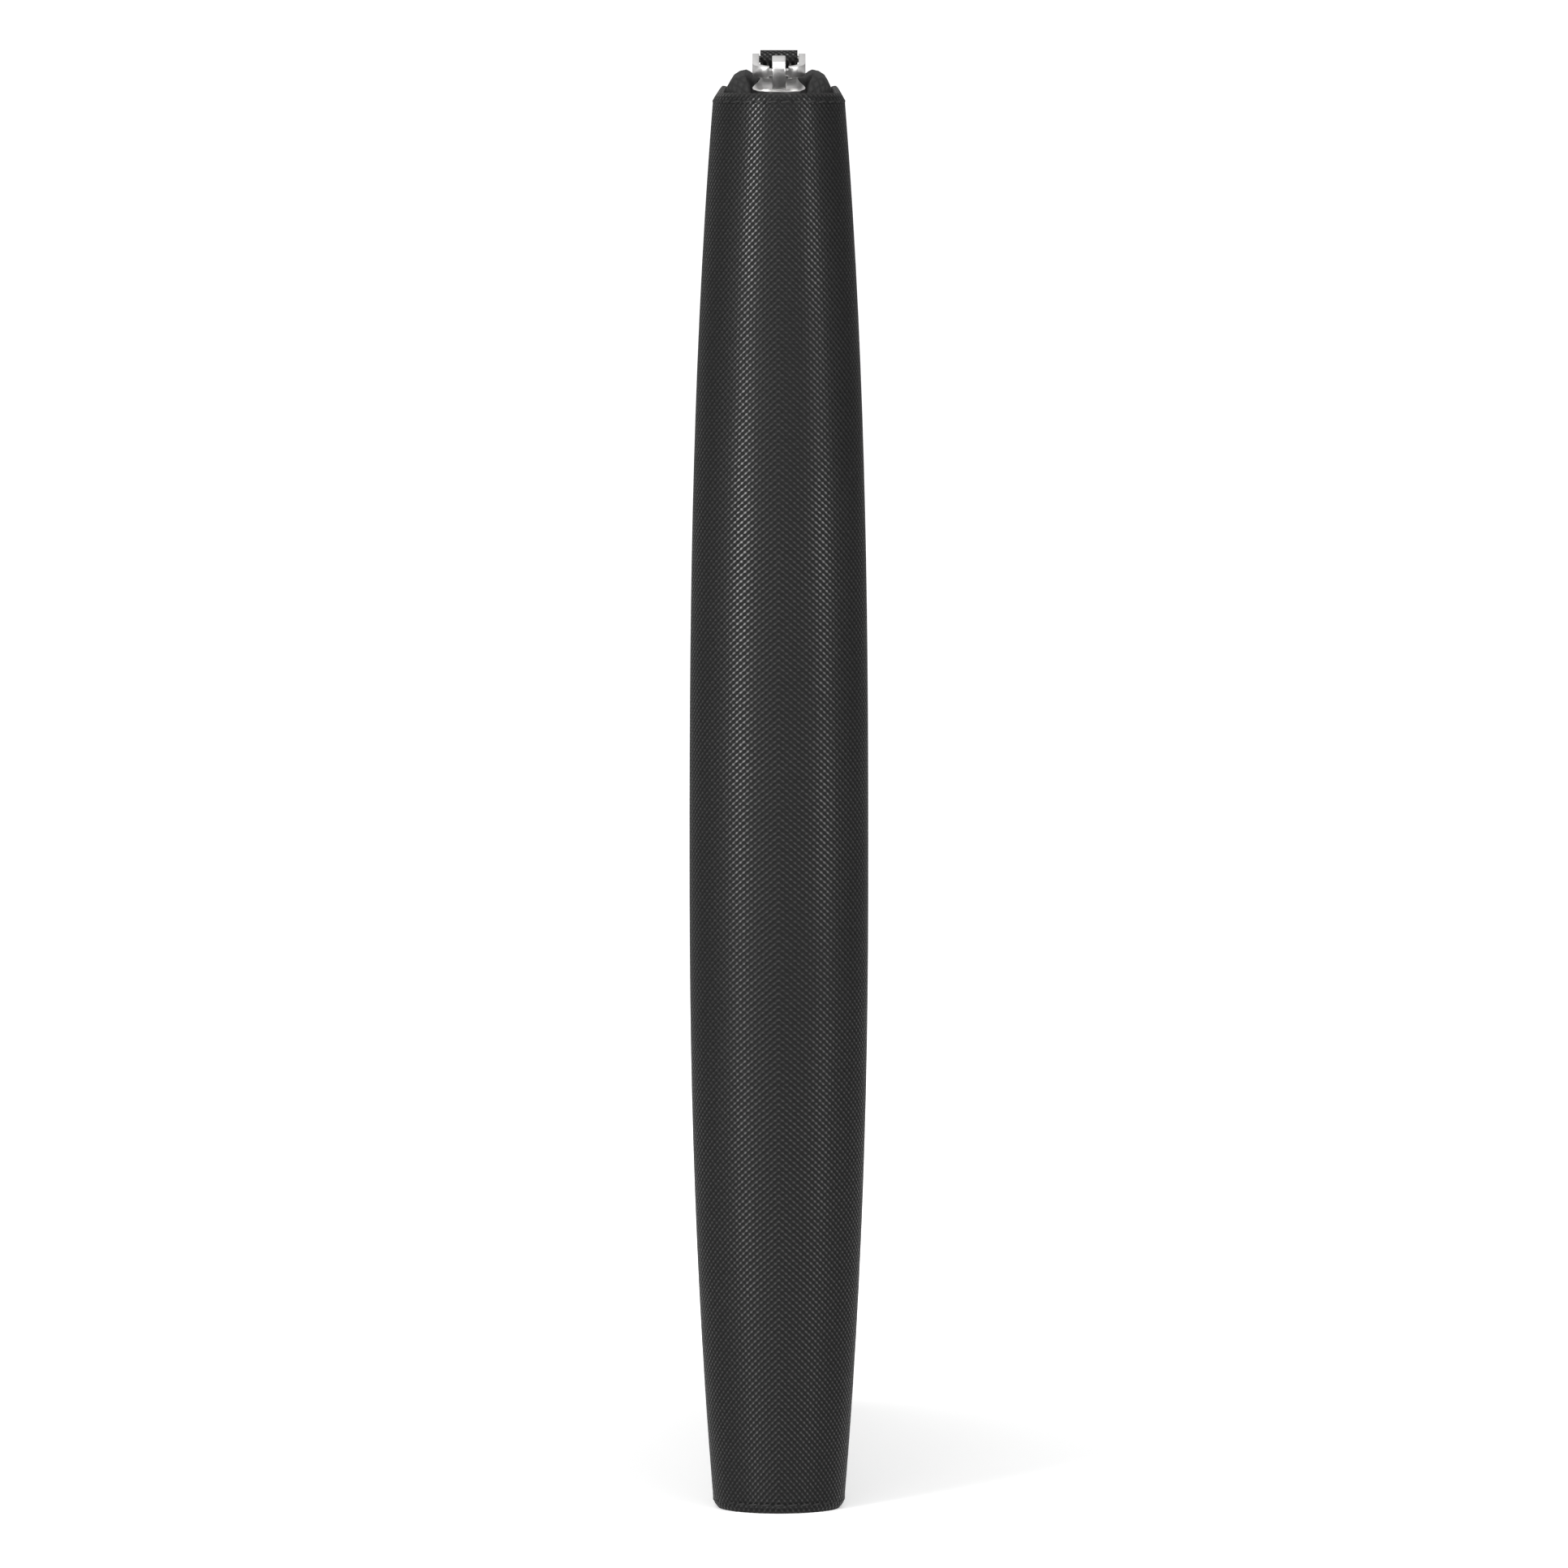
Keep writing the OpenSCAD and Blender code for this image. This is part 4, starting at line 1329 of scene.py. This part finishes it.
@dataclass
class Pull:
    """The slider with its bail, the ring, and the leather tab on it."""

    finishes: Finishes
    lean_deg: float = -1.31
    seam_x: float = 2.2
    seam_end: float = 28.7
    seam_start: float = 3.6
    face_z: float = 1.6

    def tab_frame(self) -> Matrix:
        """The tab's own frame, in metres: its pivot at the origin and +Y along it."""
        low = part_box("tab_leather")[0]
        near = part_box("tab_core")
        pivot = Vector((0, low.y + 1.6 * MM, 0))
        lean = math.radians(self.lean_deg)
        middle_y = (near[0].y + near[1].y) / 2
        middle_z = (near[0].z + near[1].z) / 2
        pivot.z = middle_z - math.tan(lean) * (middle_y - pivot.y)
        return Matrix.Translation(pivot) @ Matrix.Rotation(lean, 4, "X")

    def tab_stitches(self) -> Piece:
        """Two rows of small stitches along each face of the tab, joined round its end."""
        tab, lines = self.tab_frame(), []
        edge, end, reach = self.seam_x, self.seam_end, self.seam_start
        for face in (1, -1):
            outline = [Vector((-edge, mix(reach, end - edge, u / 10), 0)) for u in range(11)]
            outline += [
                Vector((-edge * math.cos(math.radians(a)), end - edge + edge * math.sin(math.radians(a)), 0))
                for a in range(15, 180, 15)
            ]
            outline += [Vector((edge, mix(end - edge, reach, u / 10), 0)) for u in range(11)]
            up = (tab.to_3x3() @ Vector((0, 0, face))).normalized()
            lines.append([(tab @ ((p + Vector((0, 0, face * self.face_z))) * MM), up) for p in outline])
        row = StitchRow(pitch=1.9, length=1.45, width=0.36, height=0.3)
        made = row.sew(lines, "tab_stitches", self.finishes.thread)
        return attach(made, "tab")

    def build(self) -> None:
        """Builds the slider, ring and tab."""
        polished = self.finishes.polished
        for node, name, width in (
            ("slider_body", "slider_casting", 0.22),
            ("slider_bail", "bail_strip", 0.2),
            ("pull_ring", "pull_stirrup", 0.25),
        ):
            softened_copy(node, name, polished, width, 3)
        softened_copy("tab_leather", "tab_strap", self.finishes.strap, 0.45, 3)
        self.tab_stitches()


@dataclass
class Inside:
    """What the case holds: pen sleeves, flap and slip pocket, and the cloth of its gussets."""

    shape: CaseShape
    finishes: Finishes
    pens: int = 10
    pen_pitch: float = 21.5
    sleeve_y: float = 96.0
    sleeve_l: float = 62.0
    sleeve_x: float = 1.92
    panel_cut: float = 10.0
    gather: float = 0.22
    pleat: float = 0.3

    def sleeve_stitches(self) -> Piece:
        """The rows of stitches between the pens."""
        shape, lines = self.shape, []
        for i in range(1, self.pens):
            z = shape.height / 2 + (i - self.pens / 2) * self.pen_pitch
            ys = [self.sleeve_y - self.sleeve_l / 2 + 2, self.sleeve_y + self.sleeve_l / 2 - 2]
            lines.append([(shape.at(self.sleeve_x, y, z), Vector((1, 0, 0))) for y in ys])
        made = StitchRow().sew(lines, "sleeve_stitches", self.finishes.thread)
        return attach(made, "back_half")

    def panel_stitches(
        self, node: str, name: str, way: int, body: str, inset: float, sides: str
    ) -> Piece:
        """A row of stitches inside a panel's edges.

        Args:
            node: The CAD panel.
            name: The new piece's name.
            way: 1 if the row shows on the panel's +X face, -1 if on its -X face.
            body: The body that the panel rides on.
            inset: Distance from the edge, in millimetres.
            sides: "all", or "closed" for all but the edge furthest from the spine.

        Returns:
            The stitches.
        """
        low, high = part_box(node)
        x = high.x if way > 0 else low.x
        y0, y1 = low.y + inset * MM, high.y - inset * MM
        z0, z1 = low.z + inset * MM, high.z - inset * MM
        corners = [(y1, z0), (y0, z0), (y0, z1), (y1, z1)]
        if sides == "all":
            cut = self.panel_cut * MM
            upper, lower = [(y1 - cut, z1), (y1, z1 - cut)], [(y1, z0 + cut), (y1 - cut, z0)]
            corners = [(y0, z0), (y0, z1), *upper, *lower, (y0, z0)]
        line = [(Vector((x, y, z)), Vector((way, 0, 0))) for y, z in corners]
        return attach(StitchRow().sew([line], name, self.finishes.thread), body)

    def end_gusset(self, node: str, name: str) -> Piece:
        """The gathered cloth across one end of the spine's hollow."""
        low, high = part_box(node)
        reach, deep = (high.x - low.x) / 2, high.y - low.y
        middle = (low.z + high.z) / 2

        def place(i: int, j: int) -> tuple[Vector, tuple[float, float]]:
            """A point of the cloth, in soft gathers that spread from its open edge."""
            turn = math.radians(mix(-90, 90, i / 40))
            r = mix(0.04, 1.0, j / 10)
            x, y = reach * r * math.sin(turn), high.y - deep * r * math.cos(turn)
            gather = self.gather * MM * math.sin(turn * 9) * r
            return Vector((x, y, middle + gather)), (x / MM, y / MM)

        out = Vector((0, 0, 1 if middle > self.shape.height * MM / 2 else -1))
        made = laid_sheet(name, 41, 11, place, self.finishes.lining, out)
        thicken(made, 0.5)
        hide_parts(node)
        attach(made, "spine")
        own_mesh(made)
        return made

    def flap_cloth(self) -> Piece:
        """The pleated cloth that carries the flap."""
        low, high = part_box("flap_gusset")
        middle = (low.y + high.y) / 2

        def place(i: int, j: int) -> tuple[Vector, tuple[float, float]]:
            """A point of the cloth, in two shallow pleats."""
            x, z = mix(low.x, high.x, i / 24), mix(low.z, high.z, j / 30)
            pleat = self.pleat * MM * math.sin(i / 24 * math.pi * 4)
            return Vector((x, middle + pleat, z)), (x / MM, z / MM)

        made = laid_sheet("flap_cloth", 25, 31, place, self.finishes.lining, Vector((0, 1, 0)))
        thicken(made, 0.35)
        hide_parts("flap_gusset")
        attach(made, "back_half")
        return made

    def build(self) -> None:
        """Builds the case's inside."""
        calf = self.finishes.calf
        softened_copy("pen_sleeves", "sleeve_row", calf, 0.35)
        self.sleeve_stitches()
        softened_copy("slip_pocket", "pocket_panel", calf, 0.35, 3)
        self.panel_stitches("slip_pocket", "pocket_stitches", -1, "front_half", 3.0, "closed")
        softened_copy("flap_face", "flap_front", calf, 0.14)
        backing = softened_copy("flap_backing", "flap_back_cloth", self.finishes.cloth, 0.12)
        self.panel_stitches("flap_face", "flap_stitches", 1, "flap", 3.0, "all")
        self.flap_cloth()
        self.end_gusset("spine_top_gusset", "top_gusset_cloth")
        self.end_gusset("spine_bottom_gusset", "bottom_gusset_cloth")


@dataclass
class Studio:
    """The pale floor, the soft lights and the camera."""

    finishes: Finishes
    shape: CaseShape
    distance: float = 2.19
    eye_z: float = 0.269
    eye_x: float = 0.0009
    pitch_deg: float = 3.66
    lens: float = 287.0

    def floor(self) -> None:
        """A wide sheet of paper that curves up far behind the case."""
        bm = bmesh.new()
        bmesh.ops.create_grid(bm, x_segments=1, y_segments=1, size=6.0)
        far = [e for e in bm.edges if all(v.co.y > 1 for v in e.verts)]
        for k in range(1, 10):
            turn = math.radians(10 * k)
            fresh = bmesh.ops.extrude_edge_only(bm, edges=far)["geom"]
            far = [g for g in fresh if isinstance(g, bmesh.types.BMEdge) and all(v in fresh for v in g.verts)]
            for g in fresh:
                if isinstance(g, Vert):
                    g.co.y = 6.0 + 2.0 * math.sin(turn)
                    g.co.z = 2.0 * (1 - math.cos(turn))
        face_towards(bm, Vector((0, 0, 1)))
        made = make_object(bm, "studio_paper", self.finishes.paper)

    def sky(self) -> None:
        """Soft light from above and behind, and a white field for the eye."""
        world = bpy.data.worlds.new("studio")
        bpy.context.scene.world = world
        world.use_nodes = True
        tree = Tree(world.node_tree)
        way = tree.node("TexCoord").outputs["Generated"]
        parts = tree.node("SeparateXYZ", {0: way})
        above = tree.spread(parts.outputs[2], 0.35, 0.9, 0.0, 1.0)
        behind = tree.spread(parts.outputs[1], 0.0, 0.8, 0.0, 1.0)
        left = tree.spread(parts.outputs[0], 0.3, -0.6, 0.35, 1.0)
        behind = tree.math("MULTIPLY", behind, left)
        glow = tree.math("ADD", tree.math("MULTIPLY", above, 0.5), tree.math("MULTIPLY", behind, 0.75))
        glow = tree.math("ADD", glow, 0.03)
        seen = tree.node("LightPath").outputs["Is Camera Ray"]
        strength = tree.node("Mix", {0: seen, 2: glow, 3: 1.0}, data_type="FLOAT").outputs[0]
        back = tree.node("Background", {"Color": (1, 1, 1, 1), "Strength": strength})
        tree.node("OutputWorld", {"Surface": back.outputs[0]})

    def softbox(
        self, name: str, turn_deg: float, far: float, z: float, size: tuple[float, float], power: float
    ) -> None:
        """An upright soft light, turned turn_deg to the right of the camera as the case sees it."""
        data = bpy.data.lights.new(name, "AREA")
        data.shape = "RECTANGLE"
        data.size, data.size_y = size
        data.energy = power
        made = bpy.data.objects.new(name, data)
        turn = math.radians(turn_deg)
        made.location = (far * math.sin(turn), self.shape.front_y * MM - far * math.cos(turn), z)
        aim = Vector((0, 0, 0.12)) - made.location
        made.rotation_euler = aim.to_track_quat("-Z", "Y").to_euler()
        bpy.context.scene.collection.objects.link(made)

    def camera(self) -> None:
        """The eye, level with the case's upper end and tipped down a little."""
        data = bpy.data.cameras.new("eye")
        data.lens = self.lens
        data.sensor_width = 36.0
        data.clip_start, data.clip_end = 0.05, 60.0
        made = bpy.data.objects.new("eye", data)
        made.location = (self.eye_x, self.shape.front_y * MM - self.distance, self.eye_z)
        made.rotation_euler = (math.radians(90 - self.pitch_deg), 0, 0)
        bpy.context.scene.collection.objects.link(made)
        bpy.context.scene.camera = made

    def build(self) -> None:
        """Builds the studio."""
        bpy.context.scene.view_settings.view_transform = "Standard"
        self.floor()
        self.sky()
        for light in SOFT_LIGHTS:
            self.softbox(*light)
        self.camera()


def dress_cad_nodes(finishes: Finishes) -> None:
    """Gives the CAD nodes that stay their finishes."""
    for node, material in (
        ("back_board", finishes.board),
        ("front_board", finishes.board),
        ("flap_core", finishes.board),
        ("tab_core", finishes.board),
        ("lock_pin", finishes.polished),
    ):
        frame["nodes"][node].material_slots[0].material = material


def corners(box: tuple[Vector, Vector]) -> list[list[float]]:
    """A box as plain lists of numbers."""
    return [[float(c) for c in corner] for corner in box]


def main() -> None:
    """Builds the case in order, then the studio round it."""
    logging.basicConfig(level=logging.INFO, format="%(name)s %(message)s")
    spine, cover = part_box("spine_leather"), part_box("front_cover_leather")
    shape = CaseShape(
        front_y=spine[0].y / MM, height=spine[1].z / MM, depth=(cover[1].y - spine[0].y) / MM
    )
    LOG.info("case %.1f mm high and %.1f mm deep", shape.height, shape.depth)
    finishes = Finishes()
    for side in Side:
        Shell(shape, side, finishes).build()
    Zip(ZipRoute(shape), finishes).build()
    Pull(finishes).build()
    Inside(shape, finishes).build()
    dress_cad_nodes(finishes)
    Studio(finishes, shape).build()


if __name__ == "__main__":
    main()
